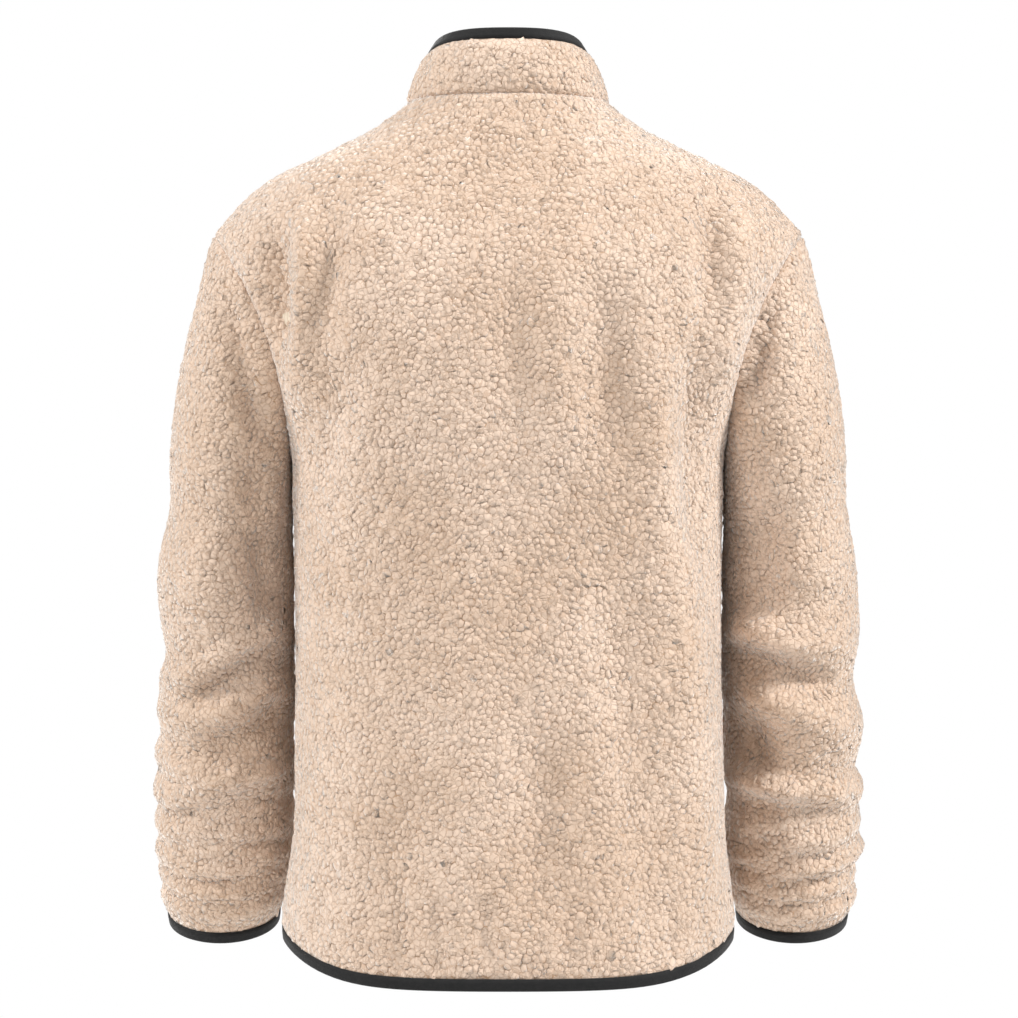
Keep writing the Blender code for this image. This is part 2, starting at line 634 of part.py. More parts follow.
def build_sleeve(name, rings, creases, mirror):
    """A sleeve with the folds pushed up its forearm, and the tape bound over its cuff."""
    count = len(rings["outer_level"])
    rows = np.sort(np.concatenate([np.arange(count), [0.5, 1.5, 7.5, 8.5]]))
    angle = np.linspace(0, 2 * math.pi, round_steps, endpoint=False)
    row_grid, angle_grid = np.meshgrid(rows, angle, indexing="ij")
    outer, normal = sleeve_surface(rings, creases, mirror, row_grid, angle_grid)
    around = np.roll(outer[0], -1, axis=0) - np.roll(outer[0], 1, axis=0)
    outer[0] += unit(np.cross(around, normal[0])) * seam_gap
    inner = outer - normal * wall
    below = np.linalg.norm(outer - outer[-1], axis=-1)
    outer, inner = press_edge(outer, inner, normal, below)
    flip = np.array([mirror, 1, 1])
    cloth(f"sleeve_{name}", outer * flip, inner * flip, True, fleece)
    binding(f"cuff_binding_{name}", [(outer[r] * flip, inner[r] * flip) for r in (-1, -2)], True)


def build_collar():
    """The stand collar, open at the zip, and the tape bound over its top. Returns its inner face."""
    squareness = float(torso_size("squareness", 0.0))
    shares = torso_row("back", 0.0, back_shares)[0][:, 0] / neck_side
    behind = np.degrees(np.arcsin(np.clip(shares, 0, 1) ** (squareness / 2)))
    half_turns = list(behind) + [90 + slope for slope in neck_slopes]
    flip = np.array([-1, 1, 1])
    grids = ([], [], [])
    for share, from_top in ((0, 0), (0.3, 0), (0.65, 0), (1, 0), (1, 1), (1, 2)):
        rows = ([], [], [])
        for half_turn in half_turns:
            high = float(np.linalg.norm(collar_point(half_turn, 1.0)[0] - collar_point(half_turn, 0.0)[0]))
            grip = (binding_height + binding_run_in, binding_height + 0.0004, 0.0)[from_top]
            rise = share * (1 - grip / high)
            point, normal = collar_point(half_turn, rise)
            if rise == 0.0:
                point = point + unit(collar_point(half_turn, 0.02)[0] - point) * collar_seam
            if half_turn == half_turns[-1]:
                point[0] = zip_half_gap
                normal = unit(normal * np.array([0, 1, 1]))
            inner = point - normal * collar_thickness(half_turn, rise)
            for row, place in zip(rows, (*press_edge(point, inner, normal, high * (1 - rise)), inner)):
                row.append(place)
        for grid, row in zip(grids, rows):
            grid.append(np.concatenate([np.array(row)[::-1] * flip, np.array(row)[1:]]))
    outer, inner, inner_face = (np.array(grid) for grid in grids)
    cloth("collar", outer, inner, False, fleece)
    binding("collar_binding", [(outer[r], inner[r]) for r in (-1, -2)], False)
    return inner_face


# Zip


chain_half_width = 0.0030
chain_height = 0.0025
tape_width = 0.0150
post_clearance = 0.0014  # from the centre to the tape's edge, clear of the slider's post
box_half_width = 0.0042
box_length = 0.009
slider_length = 0.010


def zip_line(front_inner, collar_inner):
    """The left tape's line up the front and the collar: its points, and the ways across and out of them."""
    low = [row[:2] for row in front_inner if row[0, 2] < -neck_front_drop - 0.001]
    rows = np.array(low + [row[[-1, -2]] for row in collar_inner])
    beside, away = rows[:, 0], rows[:, 1]
    out = unit(np.cross(away - beside, np.gradient(beside, axis=0)))
    out = out * -np.sign(out[:, 1:2])
    place = beside - out * 2 * seam_gap
    run = np.concatenate([[0], np.cumsum(np.linalg.norm(np.diff(place, axis=0), axis=1))])
    return {"run": run, "place": place, "across": unit(away - beside), "out": out}


def zip_frame(line, at):
    """(place, way across, way out) at this distance up from the hem, at the edge of the front."""
    values = ([np.interp(at, line["run"], line[k][:, c]) for c in range(3)] for k in ("place", "across", "out"))
    place, across, out = (np.array(v) for v in values)
    return place * np.array([0, 1, 1]), unit(across), unit(out)


def tape_point(frame, x, rise):
    """A point of the left tape: flat from the centre to the front's edge, and then along its inner face."""
    place, across, out = frame
    if x > zip_half_gap:
        return place + np.array([zip_half_gap, 0, 0]) + across * (x - zip_half_gap) + out * rise
    return place + np.array([x, 0, 0]) + unit(out * np.array([0, 1, 1])) * rise


def build_zip(front_inner, collar_inner):
    """Two tapes, each with its half of the closed chain, and the box at the bottom."""
    line = zip_line(front_inner, collar_inner)
    top = line["run"][-1] - 0.0004
    box_from = 0.0006
    chain_from, chain_to = box_from + box_length + 2 * seam_gap, top - slider_length
    bead = [(0.0, 0.0), (0.0, 0.0003), (0.0005, 0.0005), (0.0010, 0.0003), (0.0012, 0.0)]
    edge = seam_gap / 2
    chain = [(edge, 0.0), (edge, chain_height * 0.7), (0.0013, chain_height)]
    chain += [(chain_half_width, chain_height * 0.6), (chain_half_width, 0.0)]
    stops = line["run"][(line["run"] > chain_from + 0.002) & (line["run"] < chain_to - 0.002)]
    beside_box = box_half_width + seam_gap
    sections = [(0.0, beside_box, bead), (chain_from - seam_gap, beside_box, bead)]
    sections += [(at, post_clearance, None) for at in (chain_from, *stops, chain_to)]
    sections += [(chain_to + seam_gap, post_clearance, bead), (top, post_clearance, bead)]
    for name, side in (("left", 1), ("right", -1)):
        loops = []
        for at, start, corded in sections:
            frame = zip_frame(line, at)
            profile = [(start + x, rise) for x, rise in corded] if corded else list(chain)
            profile += [(zip_half_gap + 0.0001, 0.0), (tape_width, 0.0), (tape_width, -tape_thickness)]
            profile += [(zip_half_gap, -tape_thickness), (start, -tape_thickness)]
            profile.append((start, -tape_thickness / 2 if corded else 0.0))
            loops.append([tape_point(frame, x, rise) * np.array([side, 1, 1]) for x, rise in profile])
        sweep(f"zip_tape_{name}", loops, False, tape_cloth, 30)
    place, _, out = zip_frame(line, box_from + box_length / 2)
    half, high = box_half_width, box_length / 2
    box = box_between("zip_box", (-half, -0.0031, -high), (half, 0.0010, high), metal)
    box.location = (0, place[1], place[2])
    box.rotation_euler = (-math.atan2(out[2], -out[1]), 0, 0)
    place, _, out = zip_frame(line, chain_to)
    return Vector((0, place[1], place[2])), -math.atan2(out[2], -out[1])


def box_between(name, low, high, box_material, bevel=0.0004):
    """A block with softened edges, from one corner to the other."""
    bm = bmesh.new()
    bmesh.ops.create_cube(bm, size=1.0)
    low, high = Vector(low), Vector(high)
    for v in bm.verts:
        v.co = Vector((low[k] + (v.co[k] + 0.5) * (high[k] - low[k])) for k in range(3))
    made = finish(name, bm, box_material, 30)
    if bevel:
        rounded = made.modifiers.new("edges", "BEVEL")
        rounded.width = bevel
        rounded.segments = 1
    return made


def join_to(body, *others):
    """Fuses other solids to a body with Boolean unions."""
    for other in others:
        union = body.modifiers.new("join", "BOOLEAN")
        union.operation = "UNION"
        union.solver = "EXACT"
        union.object = other
        other.hide_render = True
        other.display_type = "WIRE"
        parts.objects.unlink(other)
        cutters.objects.link(other)


def build_slider(centre, tilt):
    """The slider at the top of the closed zip, with the bridge that its pull hangs from.

    It is built upright, with y towards the wearer, and then turned and set on the zip's line. Returns where
    the pull's hinge is.
    """
    half, plate = 0.0044, 0.0012
    front, back_from = chain_height + 0.0004, tape_thickness + 0.0005
    top, bottom, leg = slider_length * 0.42, -0.0062, 0.0009
    face = -front - plate
    body = box_between("zip_slider", (-half, face, bottom), (half, face + plate, top), metal)
    shapes = [
        ("post", (-0.0009, face + plate / 2, 0.0006), (0.0009, back_from + plate / 2, top - 0.0006), 0),
        ("back_plate", (-half, back_from, bottom * 0.6), (half, back_from + plate, top), 0.0004),
    ]
    for n, s in (("left", 1), ("right", -1)):
        inside, outside = sorted((s * (chain_half_width + 0.0005), s * (half - 0.0001)))
        shapes.append((f"flange_{n}", (inside, face + plate / 2, bottom + 0.001), (outside, -0.0005, top - 0.0006), 0))
    bridge_high, reach = 0.0038, 0.0031
    for n, low in (("top", reach - leg), ("bottom", -reach)):
        low += bridge_centre
        shapes.append((f"bridge_{n}", (-0.0008, face - bridge_high, low), (0.0008, face + plate / 2, low + leg), 0))
    low, high = bridge_centre - reach, bridge_centre + reach
    shapes.append(("bridge_bar", (-0.0008, face - bridge_high, low), (0.0008, face - bridge_high + leg, high), 0))
    others = [box_between(n, low, high, metal, bevel) for n, low, high, bevel in shapes]
    join_to(body, *others)
    for piece in (body, *others):
        piece.location = centre
        piece.rotation_euler = (tilt, 0, 0)
    hinge = Vector((0, face - 0.0015, bridge_centre))
    hinge.rotate(body.rotation_euler)
    return hinge + centre


bridge_centre = -0.0010
pull_width = 0.0050
pull_thickness = 0.0012
pull_length = 0.027


def build_pull(hinge, tilt):
    """The pull tab, a flat plate whose top bar passes under the slider's bridge. Its origin is on the hinge."""
    shape = bpy.data.curves.new("zip_pull", "CURVE")
    shape.dimensions = "2D"
    shape.fill_mode = "BOTH"
    shape.extrude = pull_thickness / 2
    half, bar, window, window_half = pull_width / 2, 0.0006, 0.0044, 0.0014
    taper = 0.0007
    outline = (
        (-half + taper, bar),
        (half - taper, bar),
        (half, bar - taper),
        (half * 0.8, -0.0085),
        (half * 0.8, -pull_length + 0.0025),
        (half * 0.4, -pull_length),
        (-half * 0.4, -pull_length),
        (-half * 0.8, -pull_length + 0.0025),
        (-half * 0.8, -0.0085),
        (-half, bar - taper),
    )
    hole = ((-window_half, -bar), (-window_half, -window), (window_half, -window), (window_half, -bar))
    for points in (outline, hole):
        spline = shape.splines.new("POLY")
        spline.points.add(len(points) - 1)
        for slot, (x, z) in zip(spline.points, points):
            slot.co = (x, z, 0, 1)
        spline.use_cyclic_u = True
    guide = bpy.data.objects.new("zip_pull_outline", shape)
    parts.objects.link(guide)
    bpy.context.view_layer.update()
    solid = bpy.data.meshes.new_from_object(guide.evaluated_get(bpy.context.evaluated_depsgraph_get()))
    bm = bmesh.new()
    bm.from_mesh(solid)
    bmesh.ops.remove_doubles(bm, verts=bm.verts, dist=0.00001)
    bmesh.ops.rotate(bm, verts=bm.verts, cent=(0, 0, 0), matrix=Matrix.Rotation(math.pi / 2, 3, "X"))
    bpy.data.objects.remove(guide)
    pull = finish("zip_pull", bm, metal, 30)
    pull.location = hinge
    pull.rotation_euler = (tilt, 0, 0)


for old in list(bpy.data.objects):
    bpy.data.objects.remove(old)

parts = bpy.data.collections.new("sherpa_jacket")
cutters = bpy.data.collections.new("joined_shapes")
bpy.context.scene.collection.children.link(parts)
bpy.context.scene.collection.children.link(cutters)

fleece = material("sherpa_fleece", (0.72, 0.55, 0.40), 0.95)
binding_cloth = material("black_binding", (0.012, 0.012, 0.013), 0.7)
tape_cloth = material("zip_tape", (0.015, 0.015, 0.016), 0.8)
metal = material("zip_metal", (0.03, 0.03, 0.032), 0.35, 1.0)

front_inner = build_body()
build_sleeve("left", left_rings, left_creases, 1)
build_sleeve("right", right_rings, right_creases, -1)
collar_inner = build_collar()
slider_centre, slider_tilt = build_zip(front_inner, collar_inner)
pull_hinge = build_slider(slider_centre, slider_tilt)
build_pull(pull_hinge, slider_tilt)
print("pull hinge", tuple(round(v, 5) for v in pull_hinge), "tilt", round(math.degrees(slider_tilt), 2))
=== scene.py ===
# Sherpa jacket: curly pile cloth, bindings and zip in place of the plain solids. The forms below repeat
# the sizes of the CAD, in metres.

import math

import bmesh
import bpy
import numpy as np
from mathutils import Matrix, Vector
from mathutils.bvhtree import BVHTree
from mathutils.geometry import delaunay_2d_cdt
from mathutils.kdtree import KDTree


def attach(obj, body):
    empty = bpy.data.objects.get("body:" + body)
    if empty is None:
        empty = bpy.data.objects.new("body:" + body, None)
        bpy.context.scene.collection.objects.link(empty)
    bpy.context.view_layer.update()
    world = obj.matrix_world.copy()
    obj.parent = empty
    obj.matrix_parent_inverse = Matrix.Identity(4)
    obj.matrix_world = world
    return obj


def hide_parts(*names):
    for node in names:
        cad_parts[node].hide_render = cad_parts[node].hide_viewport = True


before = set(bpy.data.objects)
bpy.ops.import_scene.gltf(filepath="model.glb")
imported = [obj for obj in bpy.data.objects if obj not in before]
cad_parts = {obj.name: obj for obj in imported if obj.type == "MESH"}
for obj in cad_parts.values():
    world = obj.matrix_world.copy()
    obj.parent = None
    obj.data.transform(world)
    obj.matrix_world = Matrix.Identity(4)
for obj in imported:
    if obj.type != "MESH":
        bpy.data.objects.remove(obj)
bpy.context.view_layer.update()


# Rows of numbers as one array for each named column, from the lowest value of the first column up.
def table(names, *rows):
    rows = np.array(sorted(rows), float)
    return dict(zip(names.split(), rows.T))


# Rows of numbers as one array for each named column, in the order given.
def listing(names, *rows):
    return dict(zip(names.split(), np.array(rows, float).T))


torso = table(
    "level halfWidth back front squareness",
    (0.012, 0.0790, 0.0725, 0.0735, 2.05),
    (0.000, 0.0835, 0.0750, 0.0745, 2.05),
    (-0.0144, 0.1013, 0.0795, 0.0770, 2.08),
    (-0.0308, 0.1275, 0.0850, 0.0800, 2.10),
    (-0.0472, 0.1624, 0.0910, 0.0845, 2.12),
    (-0.0636, 0.1935, 0.0975, 0.0895, 2.15),
    (-0.0800, 0.2144, 0.1045, 0.0950, 2.20),
    (-0.0964, 0.2296, 0.1110, 0.1000, 2.25),
    (-0.1090, 0.2407, 0.1165, 0.1040, 2.30),
    (-0.1450, 0.2350, 0.1280, 0.1130, 2.40),
    (-0.1900, 0.2150, 0.1340, 0.1210, 2.45),
    (-0.2400, 0.1930, 0.1355, 0.1255, 2.50),
    (-0.2850, 0.1770, 0.1340, 0.1270, 2.50),
    (-0.3200, 0.1758, 0.1315, 0.1270, 2.50),
    (-0.3750, 0.1742, 0.1295, 0.1270, 2.50),
    (-0.4500, 0.1736, 0.1300, 0.1280, 2.50),
    (-0.5400, 0.1740, 0.1330, 0.1290, 2.50),
    (-0.6000, 0.1752, 0.1355, 0.1300, 2.45),
    (-0.6450, 0.1822, 0.1380, 0.1310, 2.40),
    (-0.6700, 0.1848, 0.1385, 0.1310, 2.40),
    (-0.6950, 0.1830, 0.1380, 0.1300, 2.40),
    (-0.7250, 0.1790, 0.1360, 0.1290, 2.40),
)

# The soft ridges and troughs of the back, as seen from behind: a line from one end to the other,
# how wide it is to each side, and how far it stands out.
foldColumns = "fromX fromZ toX toZ width height"
backFolds = listing(
    foldColumns,
    (-0.108, -0.187, -0.157, -0.640, 0.020, 0.0055),
    (-0.075, -0.150, -0.076, -0.290, 0.019, -0.0050),
    (-0.075, -0.370, -0.118, -0.660, 0.019, -0.0040),
    (-0.006, -0.140, -0.008, -0.280, 0.018, -0.0030),
    (-0.040, -0.150, -0.038, -0.300, 0.017, 0.0020),
    (-0.026, -0.500, -0.024, -0.655, 0.021, -0.0045),
    (-0.163, -0.080, -0.166, -0.190, 0.015, -0.0050),
    (-0.149, -0.200, -0.146, -0.365, 0.015, -0.0050),
    (-0.184, -0.090, -0.172, -0.230, 0.014, 0.0040),
    (0.181, -0.105, 0.186, -0.210, 0.014, -0.0070),
    (0.163, -0.100, 0.166, -0.235, 0.014, 0.0055),
    (0.138, -0.105, 0.160, -0.225, 0.015, -0.0045),
    (0.127, -0.212, 0.152, -0.315, 0.016, -0.0035),
    (0.064, -0.550, 0.113, -0.645, 0.020, -0.0030),
    (0.020, -0.300, 0.030, -0.620, 0.026, 0.0020),
)

# The front is hidden in the photograph, so it has like folds from the armholes and down each side.
frontFolds = listing(
    foldColumns,
    (0.150, -0.105, 0.160, -0.220, 0.015, -0.0055),
    (0.172, -0.120, 0.170, -0.260, 0.014, 0.0040),
    (0.128, -0.160, 0.145, -0.330, 0.014, -0.0040),
    (0.095, -0.260, 0.112, -0.600, 0.019, 0.0040),
    (0.060, -0.430, 0.052, -0.650, 0.018, -0.0035),
    (-0.154, -0.100, -0.162, -0.230, 0.015, -0.0055),
    (-0.174, -0.130, -0.170, -0.270, 0.014, 0.0040),
    (-0.120, -0.180, -0.140, -0.350, 0.014, -0.0040),
    (-0.098, -0.300, -0.104, -0.640, 0.019, 0.0038),
    (-0.056, -0.380, -0.064, -0.610, 0.018, -0.0032),
)

# The smooth form of an arm: where its outer and inner lines run at each level, how far back and forward
# it reaches, how far its rings tip down at the back, and how far the armhole bows in.
arm = table(
    "level outerX innerX backY frontY pitch bow",
    (-0.109, 0.2407, 0.1772, 0.0600, -0.0600, 0.00, 0.014),
    (-0.129, 0.2474, 0.1772, 0.0600, -0.0600, 0.00, 0.014),
    (-0.162, 0.2548, 0.1772, 0.0600, -0.0600, 0.00, 0.014),
    (-0.197, 0.2642, 0.1772, 0.0600, -0.0600, 0.00, 0.014),
    (-0.228, 0.2706, 0.1772, 0.0615, -0.0665, 0.00, 0.008),
    (-0.260, 0.2752, 0.1772, 0.0595, -0.0735, 0.00, 0.003),
    (-0.293, 0.2783, 0.1772, 0.0550, -0.0795, 0.00, 0.000),
    (-0.326, 0.2790, 0.1772, 0.0500, -0.0845, 0.02, 0.000),
    (-0.359, 0.2840, 0.1768, 0.0455, -0.0885, 0.04, 0.000),
    (-0.392, 0.2875, 0.1764, 0.0410, -0.0925, 0.07, 0.000),
    (-0.452, 0.2865, 0.1760, 0.0290, -0.1010, 0.14, 0.000),
    (-0.490, 0.2890, 0.1762, 0.0190, -0.1080, 0.18, 0.000),
    (-0.533, 0.2925, 0.1768, 0.0075, -0.1160, 0.23, 0.000),
    (-0.570, 0.2940, 0.1778, -0.0030, -0.1230, 0.26, 0.000),
    (-0.620, 0.2940, 0.1800, -0.0180, -0.1330, 0.29, 0.000),
    (-0.650, 0.2905, 0.1850, -0.0300, -0.1395, 0.30, 0.000),
    (-0.664, 0.2885, 0.1905, -0.0385, -0.1430, 0.30, 0.000),
    (-0.700, 0.2840, 0.1935, -0.0480, -0.1490, 0.30, 0.000),
)

# A row for each ring of a sleeve that is a fold's crest or trough, from the armhole down: the level it
# crosses the outer and the inner line of the arm at, and how far it swells there, behind and in front.
ringColumns = "outerLevel innerLevel outer back inner front"
fan = (
    (-0.109, -0.285, 0.0000, 0.0000, 0.0000, 0.0000),
    (-0.129, -0.293, 0.0000, 0.0005, 0.0000, 0.0005),
    (-0.162, -0.301, 0.0000, 0.0010, 0.0000, 0.0010),
    (-0.195, -0.309, 0.0000, 0.0000, 0.0000, 0.0000),
    (-0.228, -0.318, 0.0000, 0.0000, 0.0000, 0.0000),
    (-0.260, -0.328, 0.0000, 0.0010, 0.0000, 0.0005),
    (-0.293, -0.340, 0.0000, 0.0010, 0.0000, 0.0010),
)
cuffRings = (
    (-0.6645, -0.6630, 0.0000, 0.0000, 0.0000, 0.0000),
    (-0.6700, -0.6700, 0.0000, 0.0000, 0.0000, 0.0000),
    (-0.6790, -0.6790, 0.0000, 0.0000, 0.0000, 0.0000),
)
leftRings = listing(
    ringColumns,
    *fan,
    (-0.338, -0.354, -0.0010, -0.0050, -0.0010, -0.0025),
    (-0.378, -0.388, 0.0025, 0.0045, 0.0000, 0.0030),
    (-0.430, -0.418, -0.0005, 0.0000, -0.0010, -0.0010),
    (-0.452, -0.430, -0.0035, -0.0035, -0.0020, -0.0030),
    (-0.470, -0.441, 0.0010, 0.0040, 0.0000, 0.0025),
    (-0.486, -0.456, 0.0005, -0.0055, -0.0020, -0.0030),
    (-0.500, -0.480, 0.0020, 0.0045, 0.0000, 0.0025),
    (-0.517, -0.524, -0.0025, -0.0050, -0.0025, -0.0035),
    (-0.533, -0.540, 0.0025, 0.0020, 0.0000, 0.0025),
    (-0.5475, -0.5480, -0.0015, -0.0015, -0.0010, -0.0025),
    (-0.5660, -0.5590, 0.0030, 0.0050, 0.0000, 0.0035),
    (-0.5785, -0.5740, -0.0025, -0.0055, -0.0020, -0.0030),
    (-0.5920, -0.5890, 0.0020, 0.0030, 0.0000, 0.0025),
    (-0.6030, -0.6010, -0.0030, -0.0035, -0.0015, -0.0030),
    (-0.6160, -0.6130, 0.0025, 0.0030, 0.0000, 0.0025),
    (-0.6260, -0.6240, -0.0015, -0.0035, -0.0015, -0.0025),
    (-0.6360, -0.6340, 0.0020, 0.0030, 0.0000, 0.0025),
    (-0.6455, -0.6440, -0.0025, -0.0030, -0.0015, -0.0025),
    (-0.6545, -0.6530, 0.0030, 0.0035, 0.0010, 0.0030),
    *cuffRings,
)
rightRings = listing(
    ringColumns,
    *fan,
    (-0.330, -0.356, -0.0005, -0.0020, -0.0010, -0.0015),
    (-0.375, -0.385, 0.0005, 0.0015, 0.0000, 0.0020),
    (-0.402, -0.412, 0.0015, -0.0040, -0.0015, -0.0020),
    (-0.440, -0.431, 0.0040, 0.0040, 0.0000, 0.0025),
    (-0.473, -0.446, -0.0020, -0.0055, -0.0015, -0.0030),
    (-0.507, -0.466, 0.0045, 0.0045, -0.0010, 0.0030),
    (-0.528, -0.500, 0.0010, -0.0020, -0.0030, -0.0020),
    (-0.546, -0.530, -0.0045, -0.0045, -0.0020, -0.0030),
    (-0.562, -0.548, 0.0035, 0.0050, 0.0000, 0.0030),
    (-0.578, -0.566, -0.0015, -0.0055, -0.0060, -0.0025),
    (-0.592, -0.586, 0.0015, 0.0040, -0.0040, 0.0025),
    (-0.602, -0.602, -0.0020, -0.0035, 0.0000, -0.0030),
    (-0.615, -0.614, 0.0055, 0.0030, 0.0010, 0.0025),
    (-0.6260, -0.6240, -0.0040, -0.0035, -0.0050, -0.0025),
    (-0.6370, -0.6350, 0.0010, 0.0030, 0.0000, 0.0025),
    (-0.6455, -0.6440, -0.0030, -0.0030, -0.0015, -0.0025),
    (-0.6550, -0.6535, 0.0050, 0.0035, 0.0010, 0.0030),
    *cuffRings,
)

# Short creases on the upper sleeves, in the same form as the folds of the back, for the side they face.
leftCreases = listing(
    foldColumns,
    (0.228, -0.165, 0.200, -0.270, 0.010, -0.0045),
    (0.205, -0.160, 0.192, -0.235, 0.009, -0.0040),
)
rightCreases = listing(
    foldColumns,
    (-0.206, -0.140, -0.196, -0.250, 0.011, -0.0055),
    (-0.206, -0.095, -0.200, -0.118, 0.008, -0.0030),
)


# A smooth curve through the values, whose slope at each knot is taken across its neighbours.
def curve(knots, values, at):
    at = np.asarray(at, float)
    slope = np.gradient(values, knots)
    i = np.clip(np.searchsorted(knots, at) - 1, 0, len(knots) - 2)
    span = knots[i + 1] - knots[i]
    s = np.clip((at - knots[i]) / span, 0, 1)
    return (
        (2 * s**3 - 3 * s**2 + 1) * values[i]
        + (s**3 - 2 * s**2 + s) * span * slope[i]
        + (3 * s**2 - 2 * s**3) * values[i + 1]
        + (s**3 - s**2) * span * slope[i + 1]
    )


def smoothStep(low, high, value):
    s = np.clip((np.asarray(value, float) - low) / (high - low), 0, 1)
    return s * s * (3 - 2 * s)


def unit(v):
    return v / np.maximum(np.linalg.norm(v, axis=-1, keepdims=True), 1e-12)


# How far the cloth stands out at a point, summed over a table of ridges and troughs.
def foldHeight(folds, x, z):
    height = np.zeros(np.broadcast(x, z).shape)
    for fx, fz, tx, tz, width, rise in zip(*folds.values()):
        long = math.hypot(tx - fx, tz - fz)
        along = ((x - fx) * (tx - fx) + (z - fz) * (tz - fz)) / long**2
        across = ((x - fx) * (tz - fz) - (z - fz) * (tx - fx)) / long
        height = height + rise * np.exp(-((across / width) ** 2) - 1.2 * (2 * along - 1) ** 4)
    return height


# A point of the arm's smooth form: 0 degrees is the outer line, 90 behind, 180 the inner line.
def ringPoint(rings, row, angle):
    steps = np.arange(len(rings["outerLevel"]))
    outerZ = curve(steps, rings["outerLevel"], row)
    innerZ = curve(steps, rings["innerLevel"], row)
    middle = (outerZ + innerZ) / 2
    form = {name: curve(arm["level"], arm[name], middle) for name in ("backY", "frontY", "pitch", "bow")}
    outerX = curve(arm["level"], arm["outerX"], outerZ)
    innerX = curve(arm["level"], arm["innerX"], innerZ)
    share = (1 + np.cos(angle)) / 2
    long = np.hypot(outerX - innerX, outerZ - innerZ)
    bow = form["bow"] * np.sin(angle) ** 2
    x = innerX + (outerX - innerX) * share - bow * (outerZ - innerZ) / long
    yOut = (form["backY"] - form["frontY"]) / 2 * np.sin(angle)
    y = (form["backY"] + form["frontY"]) / 2 + yOut
    z = innerZ + (outerZ - innerZ) * share + bow * (outerX - innerX) / long
    return np.stack(np.broadcast_arrays(x, y, z - form["pitch"] * yOut), axis=-1)


# Which way the pile faces at the armhole seam: out from the hole's middle, turned towards the sleeve.
def armholeNormal(angle):
    top, bottom, side = (ringPoint(leftRings, 0.0, np.radians(a)) for a in (0, 180, 90))
    centre = (top + bottom) / 2
    up = unit(top - centre)
    radial = np.cos(angle)[..., None] * up + np.sin(angle)[..., None] * np.array([0.0, 1.0, 0.0])
    outward = (0.45 + 0.15 * np.cos(angle))[..., None] * np.array([1.0, 0.0, 0.0])
    return unit(radial + outward)


# How far the folds that run round the sleeve stand out.
def sleeveSwell(rings, row, angle):
    steps = np.arange(len(rings["outerLevel"]))
    outer, back, inner, front = (curve(steps, rings[n], row) for n in ("outer", "back", "inner", "front"))
    outShare, inShare = np.maximum(np.cos(angle), 0) ** 2, np.maximum(-np.cos(angle), 0) ** 2
    side = np.where(np.sin(angle) > 0, back, front) * np.sin(angle) ** 2
    return outer * outShare + inner * inShare + side


# (point on the pile's surface, way the pile faces) of a sleeve at x above zero, before it is mirrored.
def sleeveSurface(rings, creases, mirror, row, angle):
    little = 0.01
    place = ringPoint(rings, row, angle)
    last = len(rings["outerLevel"]) - 1
    down = ringPoint(rings, np.minimum(row + little, last), angle) - ringPoint(
        rings, np.maximum(row - little, 0), angle
    )
    around = ringPoint(rings, row, angle + little) - ringPoint(rings, row, angle - little)
    normal = unit(np.cross(down, around))
    share = smoothStep(0.0, 1.5, row)[..., None]
    normal = unit(normal * share + armholeNormal(angle) * (1 - share))
    seenX = place[..., 0] * mirror
    fromSeam = smoothStep(0.0, 0.8, row)
    crease = foldHeight(creases, seenX, place[..., 2]) * np.clip(np.sin(angle) * 1.6, 0, 1)
    frontCrease = foldHeight(creases, seenX, place[..., 2] + 0.02) * np.clip(-np.sin(angle) * 1.2, 0, 1)
    swell = sleeveSwell(rings, row, angle) + crease + frontCrease
    return place + normal * (swell * fromSeam)[..., None], normal


bodySizes = {
    "wall": 0.005,  # fleece backing and its pile together
    "seamGap": 0.0003,
    "hemSide": -0.682,
    "hemBackDrop": 0.0285,
    "hemRoundness": 5.6,
    "neckFrontDrop": 0.062,
    "foldGain": 1.85,  # the pile shows the folds this much more than the solids do
    "armholeGain": 0.75,  # and this much more again beside the armholes
    "foldFade": 0.011,  # how far from a seam a fold has run out
    "seamTurn": 0.009,  # how far from a seam the pile still leans with it
    "columns": 30,  # points from the middle of a panel to its side
}


def torsoSize(name, z):
    return curve(torso["level"], torso[name], z)


# (x, y) of the back half of the armhole at these levels.
def armholeAt(z):
    angle = np.linspace(0, math.pi, 400)
    points = ringPoint(leftRings, 0.0, angle)
    order = np.argsort(points[:, 2])
    return tuple(np.interp(z, points[order, 2], points[order, k]) for k in (0, 1))


armholeTop = float(ringPoint(leftRings, 0.0, 0.0)[2])
armholeBottom = float(ringPoint(leftRings, 0.0, math.pi)[2])


# (half width, depth, squareness, last turn) of the body's outline at these levels, on its back or front.
def section(face, z):
    depth = torsoSize(face, z)
    squareness = torsoSize("squareness", z)
    inHole = (z < armholeTop) & (z > armholeBottom)
    holeX, holeY = armholeAt(z)
    endY = np.where(inHole, holeY, 0.0)
    reach = (1 - (endY / depth) ** squareness) ** (1 / squareness)
    width = np.where(inHole, holeX / reach, torsoSize("halfWidth", z))
    return width, depth, squareness, np.arccos(np.clip((endY / depth) ** (squareness / 2), 0, 1))


# The width that the middle of each panel follows, so that the armhole's ends leave no line across it.
evenLevels = np.linspace(-0.80, 0.06, 431)
evenReach, evenSpread = 30, 13.0  # in levels
evenKernel = np.exp(-((np.arange(-evenReach, evenReach + 1) / evenSpread) ** 2))
evenWidth = {}
for sideName in ("back", "front"):
    padded = np.pad(section(sideName, evenLevels)[0], evenReach, mode="edge")
    evenWidth[sideName] = np.convolve(padded, evenKernel / evenKernel.sum(), mode="valid")


